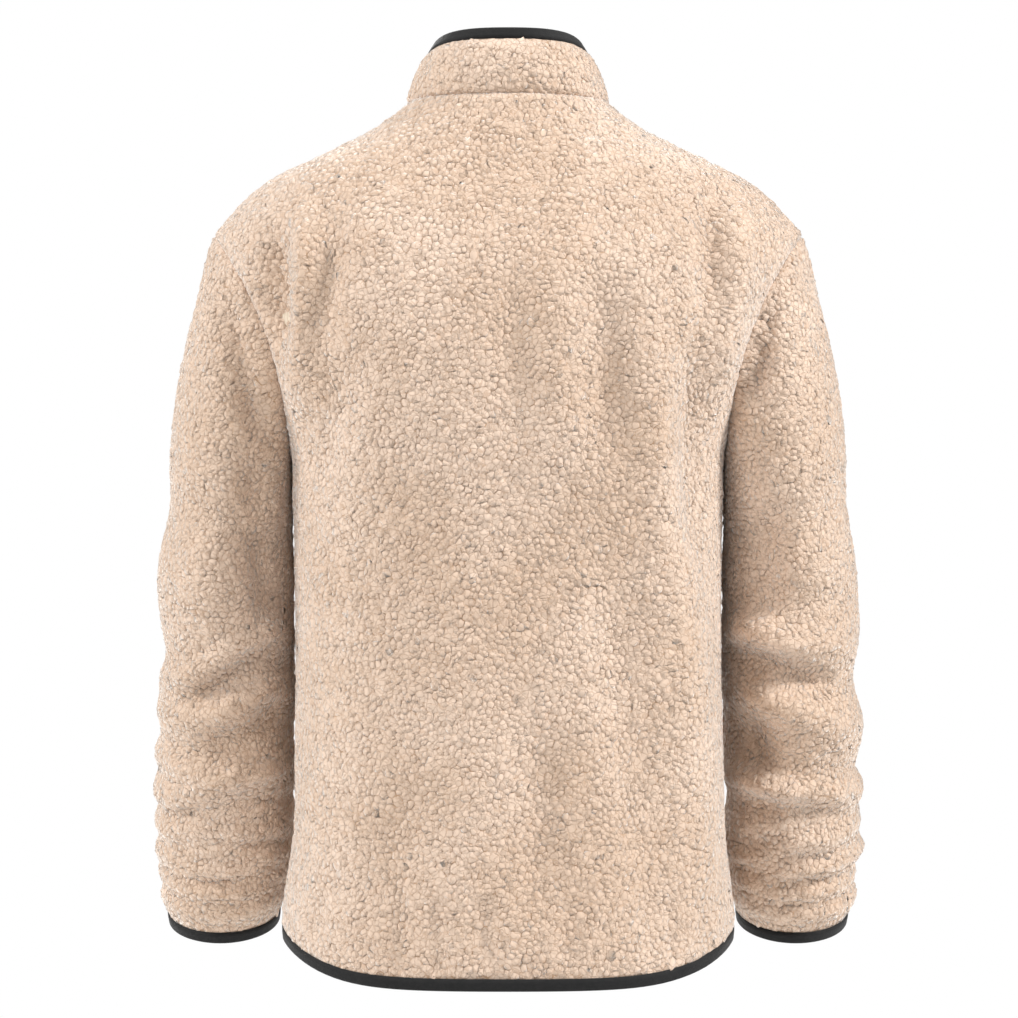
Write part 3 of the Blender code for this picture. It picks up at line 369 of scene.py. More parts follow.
# A point of the back or the front, turn 0 at its middle and 90 degrees at the body's side.
def outlinePoint(face, z, turn):
    width, depth, squareness, last = section(face, z)
    even = np.interp(z, evenLevels, evenWidth[face])
    evened = smoothStep(-0.062, -0.09, z) * (1 - smoothStep(0.55, 1.0, turn / last))
    x = (width + (even - width) * evened) * np.sin(turn) ** (2 / squareness)
    y = depth * np.abs(np.cos(turn)) ** (2 / squareness)
    return np.stack(np.broadcast_arrays(x, y if face == "back" else -y, z), axis=-1)


# How far the hem hangs below its height at the side seam, where x is this share of the half width.
def hemDrop(face, share):
    return (bodySizes["hemBackDrop"] if face == "back" else 0.0) * (1 - share ** bodySizes["hemRoundness"])


# (point, way it faces) on the left half of the body; a level near the hem hangs with the hem.
def torsoPoint(face, level, turn):
    share = np.sin(turn) ** (2 / torsoSize("squareness", level))
    z = level - hemDrop(face, share) * smoothStep(-0.50, bodySizes["hemSide"], level)
    up = outlinePoint(face, z + 0.002, turn) - outlinePoint(face, z - 0.002, turn)
    little = 0.004
    low, high = np.maximum(turn - little, 0), np.minimum(turn + little, math.pi / 2)
    across = outlinePoint(face, z, high) - outlinePoint(face, z, low)
    normal = unit(np.cross(up, across))
    return outlinePoint(face, z, turn), normal if face == "back" else -normal


# One row of half a panel, at these shares of its length from the middle to the side.
def torsoRow(face, level, shares, startX=0.0):
    width, _, squareness, last = (float(v) for v in section(face, np.array(level)))
    first = math.asin(min(1.0, (startX / width) ** (squareness / 2)))
    turns = np.linspace(first, last, 240)
    points, _ = torsoPoint(face, np.full_like(turns, level), turns)
    run = runAlong(points)
    turn = np.interp(np.asarray(shares) * run[-1], run, turns)
    point, normal = torsoPoint(face, np.full_like(turn, level), turn)
    return point, normal, (1 - np.asarray(shares)) * run[-1]


neckSide = float(torsoSize("halfWidth", 0.0))


# How far the front neckline is from the middle at a level between its lowest point and the shoulder.
def necklineX(z):
    return neckSide * math.sqrt(max(0.0, 1 - (z / bodySizes["neckFrontDrop"]) ** 2))


# (point, panel's normal) on the left half of the neckline, from 0 at the centre back to 180 at the front.
def neckline(halfTurn):
    if halfTurn <= 90:
        point, normal = torsoPoint("back", np.array([0.0]), np.radians([halfTurn]))
    else:
        slope = math.radians(halfTurn - 90)
        z = -bodySizes["neckFrontDrop"] * math.sin(slope)
        x = max(neckSide * math.cos(slope), 1e-6)
        squareness, width = float(torsoSize("squareness", z)), float(torsoSize("halfWidth", z))
        turn = math.asin(min(1.0, (x / width) ** (squareness / 2)))
        point, normal = torsoPoint("front", np.array([z]), np.array([turn]))
    return point[0], normal[0]


collarSizes = {
    "seam": 0.0005,  # the seam turns fast round the neck, so it is a little wider apart
    "wall": 0.008,  # two layers, thinner only where they meet the zip
    "rimHalfWidth": 0.0645,
    "rimBack": 0.0680,
    "rimFront": 0.0800,
    "rimSquareness": 2.25,
    "rimHeights": (0.0329, 0.02575, -0.0061),  # its mean, what the back adds, and the dip at each side
    "bow": (0.0022, 0.0015),  # how far it bows out, and how much of that is more at the back
}


# A point on the left half of the collar's top, from 0 at the centre back to 180 at the zip.
def collarRim(halfTurn):
    turn = math.radians(halfTurn)
    power = 2 / collarSizes["rimSquareness"]
    x = collarSizes["rimHalfWidth"] * abs(math.sin(turn)) ** power
    reach = collarSizes["rimBack"] if halfTurn <= 90 else collarSizes["rimFront"]
    y = math.copysign(abs(math.cos(turn)) ** power, math.cos(turn)) * reach
    mean, tilt, dip = collarSizes["rimHeights"]
    return np.array([x, y, mean + tilt * math.cos(turn) + dip * math.cos(2 * turn)])


# (point, way it faces) on the left half of the collar, rise 0 at its seam and 1 at its top.
def collarPoint(halfTurn, rise):
    base, panelNormal = neckline(halfTurn)
    top = collarRim(halfTurn)
    side, _ = neckline(min(180.0, halfTurn + 2))
    before, _ = neckline(max(0.0, halfTurn - 2))
    face = unit(np.cross(top - base, side - before))
    bow = collarSizes["bow"][0] + collarSizes["bow"][1] * math.cos(math.radians(halfTurn))
    point = base + (top - base) * rise + face * bow * math.sin(math.pi * rise)
    seamShare = max(0.0, 1 - rise * 4)
    return point, unit(face + panelNormal * seamShare)


# The collar is as thin as a front at its seam and beside the zip.
def collarThickness(halfTurn, rise):
    wall = bodySizes["wall"]
    share = float(smoothStep(170, 140, halfTurn) * smoothStep(0.0, 0.25, rise))
    return wall + (collarSizes["wall"] - wall) * share


# A socket of a node tree, with sums written as plain expressions.
class Wire:
    def __init__(self, maker, socket):
        self.maker, self.socket = maker, socket

    def sum(self, operation, first, second=None):
        values = [v for v in (first, second) if v is not None]
        return self.maker.add("ShaderNodeMath", {"operation": operation}, *values)

    def __add__(self, other):
        return self.sum("ADD", self, other)

    def __radd__(self, other):
        return self.sum("ADD", other, self)

    def __sub__(self, other):
        return self.sum("SUBTRACT", self, other)

    def __rsub__(self, other):
        return self.sum("SUBTRACT", other, self)

    def __mul__(self, other):
        return self.sum("MULTIPLY", self, other)

    def __rmul__(self, other):
        return self.sum("MULTIPLY", other, self)

    def sine(self):
        return self.sum("SINE", self)

    # 0 below low, 1 above high, and smooth between them.
    def between(self, low, high):
        settings = {"interpolation_type": "SMOOTHSTEP"}
        limits = {"From Min": low, "From Max": high}
        return self.maker.add("ShaderNodeMapRange", settings, Value=self, **limits)


# Adds nodes to a tree and joins them up.
class Maker:
    def __init__(self, tree):
        self.tree = tree

    # Any node: its settings, then its inputs in order or by name. Returns the output asked for.
    def add(self, kind, settings=None, *values, output=0, **named):
        node = self.tree.nodes.new(kind)
        for name, value in (settings or {}).items():
            setattr(node, name, value)
        pairs = [(node.inputs[i], v) for i, v in enumerate(values)]
        pairs += [(node.inputs[n], v) for n, v in named.items()]
        for socket, value in pairs:
            if isinstance(value, Wire):
                self.tree.links.new(value.socket, socket)
            else:
                socket.default_value = value
        return Wire(self, node.outputs[output])

    def vector(self, operation, *values, **named):
        return self.add("ShaderNodeVectorMath", {"operation": operation}, *values, **named)

    def objectPlace(self):
        return self.add("ShaderNodeTexCoord", None, output="Object")

    def axes(self, place):
        node = self.add("ShaderNodeSeparateXYZ", None, place).socket.node
        return [Wire(self, socket) for socket in node.outputs]

    def noise(self, place, scale, detail=2.0, roughness=0.5, output=0):
        inputs = {"Vector": place, "Scale": scale, "Detail": detail, "Roughness": roughness}
        return self.add("ShaderNodeTexNoise", None, output=output, **inputs)

    def mix(self, share, first, second):
        node = self.tree.nodes.new("ShaderNodeMix")
        node.data_type = "RGBA"
        for index, value in ((0, share), (6, first), (7, second)):
            if isinstance(value, Wire):
                self.tree.links.new(value.socket, node.inputs[index])
            else:
                node.inputs[index].default_value = value
        return Wire(self, node.outputs[2])


# A material and the wires that feed its Principled shader.
def newMaterial(name, constants):
    made = bpy.data.materials.new(name)
    made.use_nodes = True
    shader = made.node_tree.nodes["Principled BSDF"]
    for key, value in constants.items():
        shader.inputs[key].default_value = value
    return made, shader, Maker(made.node_tree)


def joinShader(maker, shader, **wires):
    for name, wire in wires.items():
        maker.tree.links.new(wire.socket, shader.inputs[name.replace("_", " ")])


# sRGB from 0 to 255 as the linear colour that a shader takes.
def colour(red, green, blue):
    values = [v / 255 for v in (red, green, blue)]
    return (*[v / 12.92 if v <= 0.04045 else ((v + 0.055) / 1.055) ** 2.4 for v in values], 1.0)


def bump(maker, height, distance, strength=1.0):
    return maker.add("ShaderNodeBump", None, Height=height, Distance=distance, Strength=strength)


pileFinish = {
    "tips": (colour(213, 187, 165), colour(223, 199, 179)),  # warm cream, in broad soft patches
    "paintedGapShade": (colour(184, 148, 118), colour(203, 170, 141)),  # painted shade: tan where the curls meet
    "fineCurls": 215.0,  # in a metre
    "fineTwist": (240.0, 0.0035),  # the scale of the noise that bends their outlines, and how far
    "fibres": 1500.0,
    "patches": 9.0,
    "relief": 0.0004,
}


# Pile: cream tips, painted shade in tan between the curls and along the edges of finer curls drawn on the
# larger ones, and fibres over all.
def pileMaterial():
    constants = {"Roughness": 0.92, "Sheen Weight": 1.0, "Sheen Roughness": 0.4, "Specular IOR Level": 0.1}
    constants["Sheen Tint"] = colour(255, 251, 246)
    made, shader, maker = newMaterial("sherpaPile", constants)
    place = maker.objectPlace()
    tip = maker.add("ShaderNodeAttribute", {"attribute_name": "tip"}, output="Fac")
    scale, far = pileFinish["fineTwist"]
    swirl = maker.noise(place, scale, 2.0, output="Color")
    warped = maker.vector("ADD", place, maker.vector("SCALE", swirl, Scale=far))
    feature, scale = {"feature": "DISTANCE_TO_EDGE"}, pileFinish["fineCurls"]
    edges = maker.add("ShaderNodeTexVoronoi", feature, Vector=warped, Scale=scale)
    fibres = maker.noise(place, pileFinish["fibres"], 2.0, 0.65)
    broad = maker.noise(place, pileFinish["patches"], 2.0, 0.5)
    inCurl = edges.between(0.0, 0.15)
    # Painted shade: raised is low in the gaps between the curls and at the edges of the finer curls, and
    # there the colour turns to the darker tan.
    raised = (tip * 0.52 + inCurl * 0.48 - 0.06).between(0.0, 0.85)
    pale = maker.mix(broad.between(0.35, 0.65), *pileFinish["tips"])
    deep = maker.mix(inCurl, *pileFinish["paintedGapShade"])
    shade = maker.mix(raised, deep, pale)
    strands = bump(maker, fibres * 0.5 + inCurl, pileFinish["relief"])
    joinShader(maker, shader, Base_Color=shade, Normal=strands)
    return made


# The smooth knitted back of the fleece, with its rows of stitches.
def backingMaterial():
    made, shader, maker = newMaterial("knitBacking", {"Roughness": 0.85, "Sheen Weight": 0.2})
    place = maker.objectPlace()
    across, _, up = maker.axes(place)
    stitches = (across * 2600.0 + (up * 3900.0).sine() * 0.9).sine()
    broad = maker.noise(place, 14.0, 2.0)
    shade = maker.mix(broad, colour(214, 196, 172), colour(226, 209, 187))
    joinShader(maker, shader, Base_Color=shade, Normal=bump(maker, stitches, 0.0003))
    return made


# Smooth black elastic with fine ribs across it.
def elasticMaterial():
    made, shader, maker = newMaterial("blackElastic", {"Sheen Weight": 0.12, "Specular IOR Level": 0.3})
    place = maker.objectPlace()
    knit = maker.noise(place, 1500.0, 2.0)
    ribs = maker.noise(place, 260.0, 2.0)
    shade = maker.mix(ribs.between(0.3, 0.7), colour(9, 9, 9), colour(18, 17, 17))
    rough, relief = 0.62 + knit * 0.2, bump(maker, knit + ribs * 0.6, 0.0004)
    joinShader(maker, shader, Base_Color=shade, Roughness=rough, Normal=relief)
    return made


# Woven zip tape, in a herringbone.
def tapeMaterial():
    made, shader, maker = newMaterial("zipWeave", {"Sheen Weight": 0.1, "Specular IOR Level": 0.3})
    across, _, up = maker.axes(maker.objectPlace())
    zigzag = maker.add("ShaderNodeMath", {"operation": "PINGPONG"}, across, 0.0011)
    weave = ((up + zigzag) * 7800.0).sine()
    shade = maker.mix(weave.between(-1.0, 1.0), colour(20, 20, 21), colour(38, 37, 37))
    joinShader(maker, shader, Base_Color=shade, Normal=bump(maker, weave, 0.0002))
    shader.inputs["Roughness"].default_value = 0.75
    return made


def enamelMaterial():
    constants = {"Metallic": 0.6, "Coat Weight": 0.4, "Coat Roughness": 0.2}
    made, shader, maker = newMaterial("blackEnamel", constants)
    place = maker.objectPlace()
    worn = maker.noise(place, 420.0, 3.0)
    shade = maker.mix(worn.between(0.45, 0.75), colour(26, 26, 28), colour(48, 47, 48))
    joinShader(maker, shader, Base_Color=shade, Roughness=0.25 + worn * 0.2)
    return made


def resinMaterial():
    made, shader, maker = newMaterial("zipTeeth", {"Specular IOR Level": 0.5, "Coat Weight": 0.2})
    place = maker.objectPlace()
    worn = maker.noise(place, 600.0, 2.0)
    shade = maker.mix(worn, colour(22, 22, 23), colour(40, 39, 39))
    joinShader(maker, shader, Base_Color=shade, Roughness=0.35 + worn * 0.2)
    return made


pile, backing, elastic = pileMaterial(), backingMaterial(), elasticMaterial()
weave, enamel, resin = tapeMaterial(), enamelMaterial(), resinMaterial()
print("materials made")


# A new group of geometry nodes: (its tree, its maker, wires from its inputs by name).
def newGroup(name, inputs):
    tree = bpy.data.node_groups.new(name, "GeometryNodeTree")
    tree.interface.new_socket("Geometry", in_out="INPUT", socket_type="NodeSocketGeometry")
    tree.interface.new_socket("Geometry", in_out="OUTPUT", socket_type="NodeSocketGeometry")
    for label, kind in inputs.items():
        tree.interface.new_socket(label, in_out="INPUT", socket_type=kind)
    maker = Maker(tree)
    entry = tree.nodes.new("NodeGroupInput")
    return tree, maker, {socket.name: Wire(maker, socket) for socket in entry.outputs if socket.name}


def endGroup(tree, geometry):
    last = tree.nodes.new("NodeGroupOutput")
    tree.links.new(geometry.socket, last.inputs[0])
    return tree


fleece = {
    "crevice": 0.0010,  # how far the gaps between curls lie below the cloth's surface
    "tuft": 0.0011,  # how high a curl stands over its gaps
    "tuftShares": (0.85, 1.15),  # the lowest and the highest curl
    "tipShares": (0.78, 0.96),  # the narrowest and the widest tip, against the curl's foot
    "closing": 0.84,  # how far up the gaps can be filled, where curls run together
    "closingAt": (150.0, 0.37, 0.61),  # the scale of the noise that closes them, and its limits
    "swayAt": 260.0,
    "footSway": 0.0014,
    "tipSway": 0.0026,  # on top of the foot's
    "backingSpacing": 0.014,  # between the points of the knitted back
    "pressedSpacing": 0.005,  # the same where a binding presses the cloth
}


# A random number for each face or point, between two limits.
def randomShare(maker, limits):
    share = maker.add("FunctionNodeRandomValue", {"data_type": "FLOAT"}, output=1)
    node = share.socket.node
    node.inputs[2].default_value, node.inputs[3].default_value = limits
    return share


# Turns a triangle mesh into its cells, and raises a curl of pile on each that has a height.
def pileGroup():
    kinds = {"Pile": "NodeSocketMaterial", "Backing": "NodeSocketMaterial", "Tuft": "NodeSocketFloat"}
    kinds["Seed"] = "NodeSocketInt"
    tree, maker, given = newGroup("pileCells", kinds)

    def named(name):
        kind = "GeometryNodeInputNamedAttribute"
        return maker.add(kind, {"data_type": "FLOAT"}, name, output="Attribute")

    def store(name, value, geometry):
        settings = {"data_type": "FLOAT", "domain": "POINT"}
        values = {"Geometry": geometry, "Name": name, "Value": value}
        return maker.add("GeometryNodeStoreNamedAttribute", settings, **values)

    cells = maker.add("GeometryNodeDualMesh", None, given["Geometry"], output="Dual Mesh")
    tall = named("tall")
    piled = maker.add("FunctionNodeCompare", {"operation": "GREATER_THAN"}, tall, 0.05)
    vary = randomShare(maker, fleece["tuftShares"])
    tree.links.new(given["Seed"].socket, vary.socket.node.inputs["Seed"])
    lift = {"Mesh": cells, "Selection": piled, "Individual": True}
    lift["Offset Scale"] = tall * vary * given["Tuft"]
    grown = maker.add("GeometryNodeExtrudeMesh", {"mode": "FACES"}, output="Mesh", **lift)
    top = Wire(maker, grown.socket.node.outputs["Top"])
    narrow = randomShare(maker, fleece["tipShares"])
    shrunk = maker.add("GeometryNodeScaleElements", {"domain": "FACE"}, grown, top, narrow, output=0)
    # The tip attribute, 0 at the gaps' feet and 1 on the tops, sets where the pile's material paints shade in
    # the gaps.
    tipped = store("tip", top, shrunk)
    place = maker.add("GeometryNodeInputPosition", None, output=0)
    swirl = maker.noise(place, fleece["swayAt"], 1.0, output="Color")
    centred = maker.vector("SUBTRACT", swirl, (0.5, 0.5, 0.5))
    tip = named("tip")
    scale, low, high = fleece["closingAt"]
    shut = maker.noise(place, scale, 1.0).between(low, high) * fleece["closing"] * (1.0 - tip)
    facing = maker.add("GeometryNodeInputNormal", None, output=0)
    raised = maker.vector("SCALE", facing, Scale=shut * tall * given["Tuft"])
    sway = maker.vector("SCALE", centred, Scale=tall * (tip * fleece["tipSway"] + fleece["footSway"]))
    offset = maker.vector("ADD", raised, sway)
    moved = maker.add("GeometryNodeSetPosition", None, Geometry=tipped, Offset=offset)
    smooth = maker.add("GeometryNodeSetShadeSmooth", None, store("tip", tip + shut, moved))
    inside = maker.add("FunctionNodeCompare", {"operation": "GREATER_THAN"}, named("lining"), 0.5)
    real = maker.add("GeometryNodeRealizeInstances", None, smooth)
    both = maker.add("GeometryNodeSetMaterial", None, Geometry=real, Material=given["Pile"])
    lined = {"Geometry": both, "Selection": inside, "Material": given["Backing"]}
    return endGroup(tree, maker.add("GeometryNodeSetMaterial", None, **lined))


# Sets small pieces along a line of points, each turned by the point's own directions.
def alongGroup():
    kinds = {"Piece": "NodeSocketObject", "Finish": "NodeSocketMaterial"}
    tree, maker, given = newGroup("alongLine", kinds)
    piece = maker.add("GeometryNodeObjectInfo", None, given["Piece"], output="Geometry")
    kind = "GeometryNodeInputNamedAttribute"
    turn = maker.add(kind, {"data_type": "QUATERNION"}, "turn", output="Attribute")
    values = {"Points": given["Geometry"], "Instance": piece, "Rotation": turn}
    placed = maker.add("GeometryNodeInstanceOnPoints", None, **values)
    real = maker.add("GeometryNodeRealizeInstances", None, placed)
    smooth = maker.add("GeometryNodeSetShadeSmooth", None, real)
    done = maker.add("GeometryNodeSetMaterial", None, Geometry=smooth, Material=given["Finish"])
    return endGroup(tree, done)


# Runs a group on an object and keeps the result as its plain mesh.
def runGroup(made, group, values):
    modifier = made.modifiers.new("nodes", "NODES")
    modifier.node_group = group
    for item in group.interface.items_tree:
        if item.name in values and item.in_out == "INPUT":
            modifier[item.identifier] = values[item.name]
    bpy.context.view_layer.update()
    result = bpy.data.meshes.new_from_object(made.evaluated_get(bpy.context.evaluated_depsgraph_get()))
    made.modifiers.clear()
    made.data = result
    return made


def newObject(name, data):
    made = bpy.data.objects.new(name, data)
    bpy.context.scene.collection.objects.link(made)
    return made


def newMesh(name, bm):
    mesh = bpy.data.meshes.new(name)
    bm.to_mesh(mesh)
    bm.free()
    return mesh


# A closed skin over rings of points, smooth and with one finish.
def skinRings(name, rings, finish):
    bm = bmesh.new()
    rings = [[bm.verts.new(point) for point in ring] for ring in rings]
    for low, high in zip(rings, rings[1:]):
        for k in range(len(low)):
            m = (k + 1) % len(low)
            bm.faces.new((low[k], low[m], high[m], high[k]))
    bm.faces.new(rings[0])
    bm.faces.new(rings[-1])
    bmesh.ops.recalc_face_normals(bm, faces=bm.faces)
    mesh = newMesh(name, bm)
    mesh.shade_smooth()
    mesh.materials.append(finish)
    return newObject(name, mesh)


# How long each step of a line of points is.
def stepsOf(points):
    return np.linalg.norm(np.diff(points, axis=0), axis=1)


# How far along a line each of its points is.
def runAlong(points):
    return np.concatenate([[0], np.cumsum(stepsOf(points))])


# Lays a grid of points out flat from its first row, keeping the lengths along its rows and columns. Past
# the fan's row, from where the rows spread out, the columns first go straight up.
def flatten(points, heights, anchor, fanRow=None):
    flat = np.zeros((*points.shape[:2], 2))
    flat[0, :, 1] = heights
    least = 0.2  # the shortest that a step may look from above, as a share of its length
    for r in range(len(points)):
        if fanRow is not None and r > fanRow:
            step = np.linalg.norm(points[r] - points[r - 1], axis=1)
            flat[r] = flat[r - 1] + np.stack([step * 0, step], axis=1)
            continue
        arc = stepsOf(points[r])
        if r:
            flat[r] = flat[r - 1]
            step = np.linalg.norm(points[r] - points[r - 1], axis=1)
        for _ in range(3 if r else 1):
            if r:
                side = flat[r, :, 0] - flat[r - 1, :, 0]
                upward = np.sqrt(np.maximum(step**2 - side**2, (least * step) ** 2))
                flat[r, :, 1] = flat[r - 1, :, 1] + upward
            rise = np.diff(flat[r, :, 1])
            run = np.concatenate([[0], np.cumsum(np.sqrt(np.maximum(arc**2 - rise**2, (least * arc) ** 2)))])
            flat[r, :, 0] = run - anchor(run, points[r])
    return relax(flat, points)


# Moves the flat points until every edge and diagonal of the grid is as long as it is on the cloth.
def relax(flat, points, rounds=1500):
    whole, low, high = slice(None), slice(None, -1), slice(1, None)
    pairs = [((whole, low), (whole, high)), ((low, whole), (high, whole))]
    pairs += [((low, low), (high, high)), ((low, high), (high, low))]
    lengths = [np.linalg.norm(points[b] - points[a], axis=-1) for a, b in pairs]
    for _ in range(rounds):
        move = np.zeros(flat.shape)
        for (a, b), length in zip(pairs, lengths):
            gap = flat[b] - flat[a]
            long = np.maximum(np.linalg.norm(gap, axis=-1), 1e-6)
            push = gap * (0.5 * (long - length) / long)[..., None]
            move[a] += push
            move[b] -= push
        flat = flat + move * 0.2
    return flat


# Grid values at the triangles' corners, mixed by where a flat point lies in its triangle.
def readGrid(flat, values, spots):
    rows, columns = flat.shape[:2]
    index = np.arange(rows * columns).reshape(rows, columns)
    a, b, c, d = (index[:-1, :-1], index[:-1, 1:], index[1:, 1:], index[1:, :-1])
    triangles = np.concatenate([np.stack([v.ravel() for v in t], axis=1) for t in ((a, b, c), (a, c, d))])
    corners = flat.reshape(-1, 2)
    tree = BVHTree.FromPolygons([(x, y, 0) for x, y in corners], triangles.tolist())
    found, kept = [], []
    for n, (x, y) in enumerate(spots):
        hit = tree.ray_cast(Vector((x, y, 1)), Vector((0, 0, -1)))
        if hit[0] is not None:
            found.append(hit[2])
            kept.append(n)
    corner = triangles[np.array(found)]
    p, (q, r, s) = spots[kept], (corners[corner[:, k]] for k in range(3))
    whole = np.cross(r - q, s - q)
    second, third = np.cross(p - q, s - q) / whole, np.cross(r - q, p - q) / whole
    weights = np.stack([1 - second - third, second, third], axis=1)
    values = values.reshape(rows * columns, -1)
    return p, sum(values[corner[:, k]] * weights[:, k : k + 1] for k in range(3))


# The flat outline of a grid and the grid's values along it, as a closed loop of evenly spaced points.
def readBorder(flat, values, spacing):
    both = np.concatenate([flat, values], axis=2)
    sides = [both[0], both[:, -1], both[-1][::-1], both[::-1, 0]]
    loop = []
    for side in sides:
        run = runAlong(side[:, :2])
        if run[-1] < spacing / 2:
            continue
        at = np.linspace(0, run[-1], max(2, round(run[-1] / spacing) + 1))[:-1]
        loop.append(np.stack([np.interp(at, run, side[:, k]) for k in range(side.shape[1])], axis=1))
    loop = np.concatenate(loop)
    return loop[:, :2], loop[:, 2:]


scattering = {"shift": 0.95, "margin": 0.62}  # off an even spacing and from the edge, in spacings


# Points scattered over a grid's flat form, none near its edge, and the grid's values there.
def scatter(flat, values, spacing, border, seed):
    generator = np.random.RandomState(seed)
    low, high = flat.reshape(-1, 2).min(axis=0), flat.reshape(-1, 2).max(axis=0)
    rows = np.arange(low[1], high[1], spacing * 0.866)  # as in rows of even triangles
    spots = []
    for r, y in enumerate(rows):
        x = np.arange(low[0] - (r % 2) * spacing / 2, high[0] + spacing, spacing)
        spots.append(np.stack([x, np.full(len(x), y)], axis=1))
    spots = np.concatenate(spots)
    spots += (generator.rand(*spots.shape) - 0.5) * spacing * scattering["shift"]
    edge = KDTree(len(border))
    for n, (x, y) in enumerate(border):
        edge.insert((x, y, 0), n)
    edge.balance()
    clear = [edge.find((x, y, 0))[2] > spacing * scattering["margin"] for x, y in spots]
    return readGrid(flat, values, spots[np.array(clear)])


# Triangles over scattered points inside a border.
def triangulate(border, spots):
    points = [Vector(p) for p in np.concatenate([border, spots])]
    count = len(border)
    edges = [(n, (n + 1) % count) for n in range(count)]
    made = delaunay_2d_cdt(points, edges, [], 1, 1e-7)
    origin = [o[0] for o in made[3]]
    return [[origin[v] for v in face] for face in made[2]]


# Evens out the points of triangles that came out the wrong way round or standing on edge, and leaves the
# first ones, which are fixed. Returns the share of such triangles that is left too.
def mendFolded(points, ways, faces, fixed, rounds=20):
    corner = np.array(faces)
    for _ in range(rounds):
        a, b, c = (points[corner[:, k]] for k in range(3))
        facing = (unit(np.cross(b - a, c - a)) * ways[corner[:, 0]]).sum(axis=1)
        wrong = facing * np.sign(np.median(facing)) < 0.35  # more than 70 degrees from the way out
        total, share = np.zeros(points.shape), np.zeros(len(points))
        for k in (0, 1, 2):
            np.add.at(total, corner[:, k], points[corner[:, k - 1]] + points[corner[:, k - 2]])
            np.add.at(share, corner[:, k], 2)
        moved = np.unique(corner[wrong])
        moved = moved[moved >= fixed]
        points[moved] = total[moved] / share[moved, None]
    return points, float(wrong.mean())


# The backing's points: far apart, and closer where the wall is pressed thin under a binding.
def scatterBacking(flat, values, border, seed):
    kept = []
    for spacing, pressed in ((fleece["backingSpacing"], False), (fleece["pressedSpacing"], True)):
        spots, found = scatter(flat, values, spacing, border, seed)
        wanted = (found[:, 6] < 0.99) == pressed  # where the pile isn't yet at its full height
        kept.append((spots[wanted], found[wanted]))
    return [np.concatenate(parts) for parts in zip(*kept)]


# A piece of pile cloth. The sheet has, for a grid of places: flat, the cut; outer, the points of the
# pile's tips; way, the direction out; deep, the wall there; sunk, how far the tips are pressed in; and
# tall, the pile's share of its full height.
def pileCloth(name, sheet, spacing, seed):
    tall = sheet["tall"][..., None]
    out = sheet["outer"] - sheet["way"] * (sheet["sunk"][..., None] + fleece["crevice"] * tall)
    back = sheet["outer"] - sheet["way"] * (sheet["deep"] - sheet["sunk"])[..., None]
    values = np.concatenate([out, back, tall, sheet["way"]], axis=2)
    border, rim = readBorder(sheet["flat"], values, spacing)
    spots, grown = scatter(sheet["flat"], values, spacing, border, seed)
    lining, smooth = scatterBacking(sheet["flat"], values, border, seed + 1)
    count = len(border)
    faces = triangulate(border, spots)
    upper = np.concatenate([rim, grown])
    piled, folded = mendFolded(upper[:, :3], upper[:, 7:], faces, count)
    points = np.concatenate([piled, rim[:, 3:6], smooth[:, 3:6]])
    rimHeight = rim[:, 6] * 0.6  # the pile is clipped lower along the seams
    height = np.concatenate([rimHeight, grown[:, 6], np.zeros(count + len(smooth))])
    inside = np.concatenate([np.zeros(count + len(grown)), np.ones(count + len(smooth))])
    shift = count + len(grown)
    faces += [[v + shift for v in face[::-1]] for face in triangulate(border, lining)]
    for n in range(count):
        m = (n + 1) % count
        faces += [[m, n, shift + n], [m, shift + n, shift + m]]
    mesh = bpy.data.meshes.new(name)
    mesh.from_pydata(points.tolist(), [], faces)
    bm = bmesh.new()
    bm.from_mesh(mesh)
    bmesh.ops.recalc_face_normals(bm, faces=bm.faces)
    bm.to_mesh(mesh)
    bm.free()
    for label, numbers in (("tall", height), ("lining", inside)):
        mesh.attributes.new(label, "FLOAT", "POINT").data.foreach_set("value", numbers)
    made = newObject(name, mesh)
    runGroup(made, pileCells, {"Pile": pile, "Backing": backing, "Tuft": fleece["tuft"], "Seed": seed})
    made.data.calc_loop_triangles()
    print(name, "triangles", len(made.data.loop_triangles), "folded", round(folded, 5))
    return made


bindingSizes = {
    "height": 0.009,
    "strip": 0.023,  # the whole width of the elastic, before it's folded
    "thickness": 0.0008,
    "play": 0.0004,  # between the cloth's edge and the binding folded over it
    "pressedHalf": 0.00125,  # half the thickness of the fleece where the binding grips it
    "runIn": 0.0045,  # how far above the binding the pile is still pressed
    "pileRunIn": 0.0040,  # how far above the binding the pile stands at its full height
}


# How far the cloth is pressed in on each side, by distance from a bound edge, and how tall the pile is there.
def nearBinding(distance, deep):
    edge = bindingSizes["height"]
    share = 1 - smoothStep(edge + 0.0004, edge + bindingSizes["runIn"], distance)
    sunk = share * (deep / 2 - bindingSizes["pressedHalf"])
    return sunk, smoothStep(edge + 0.0002, edge + bindingSizes["pileRunIn"], distance)


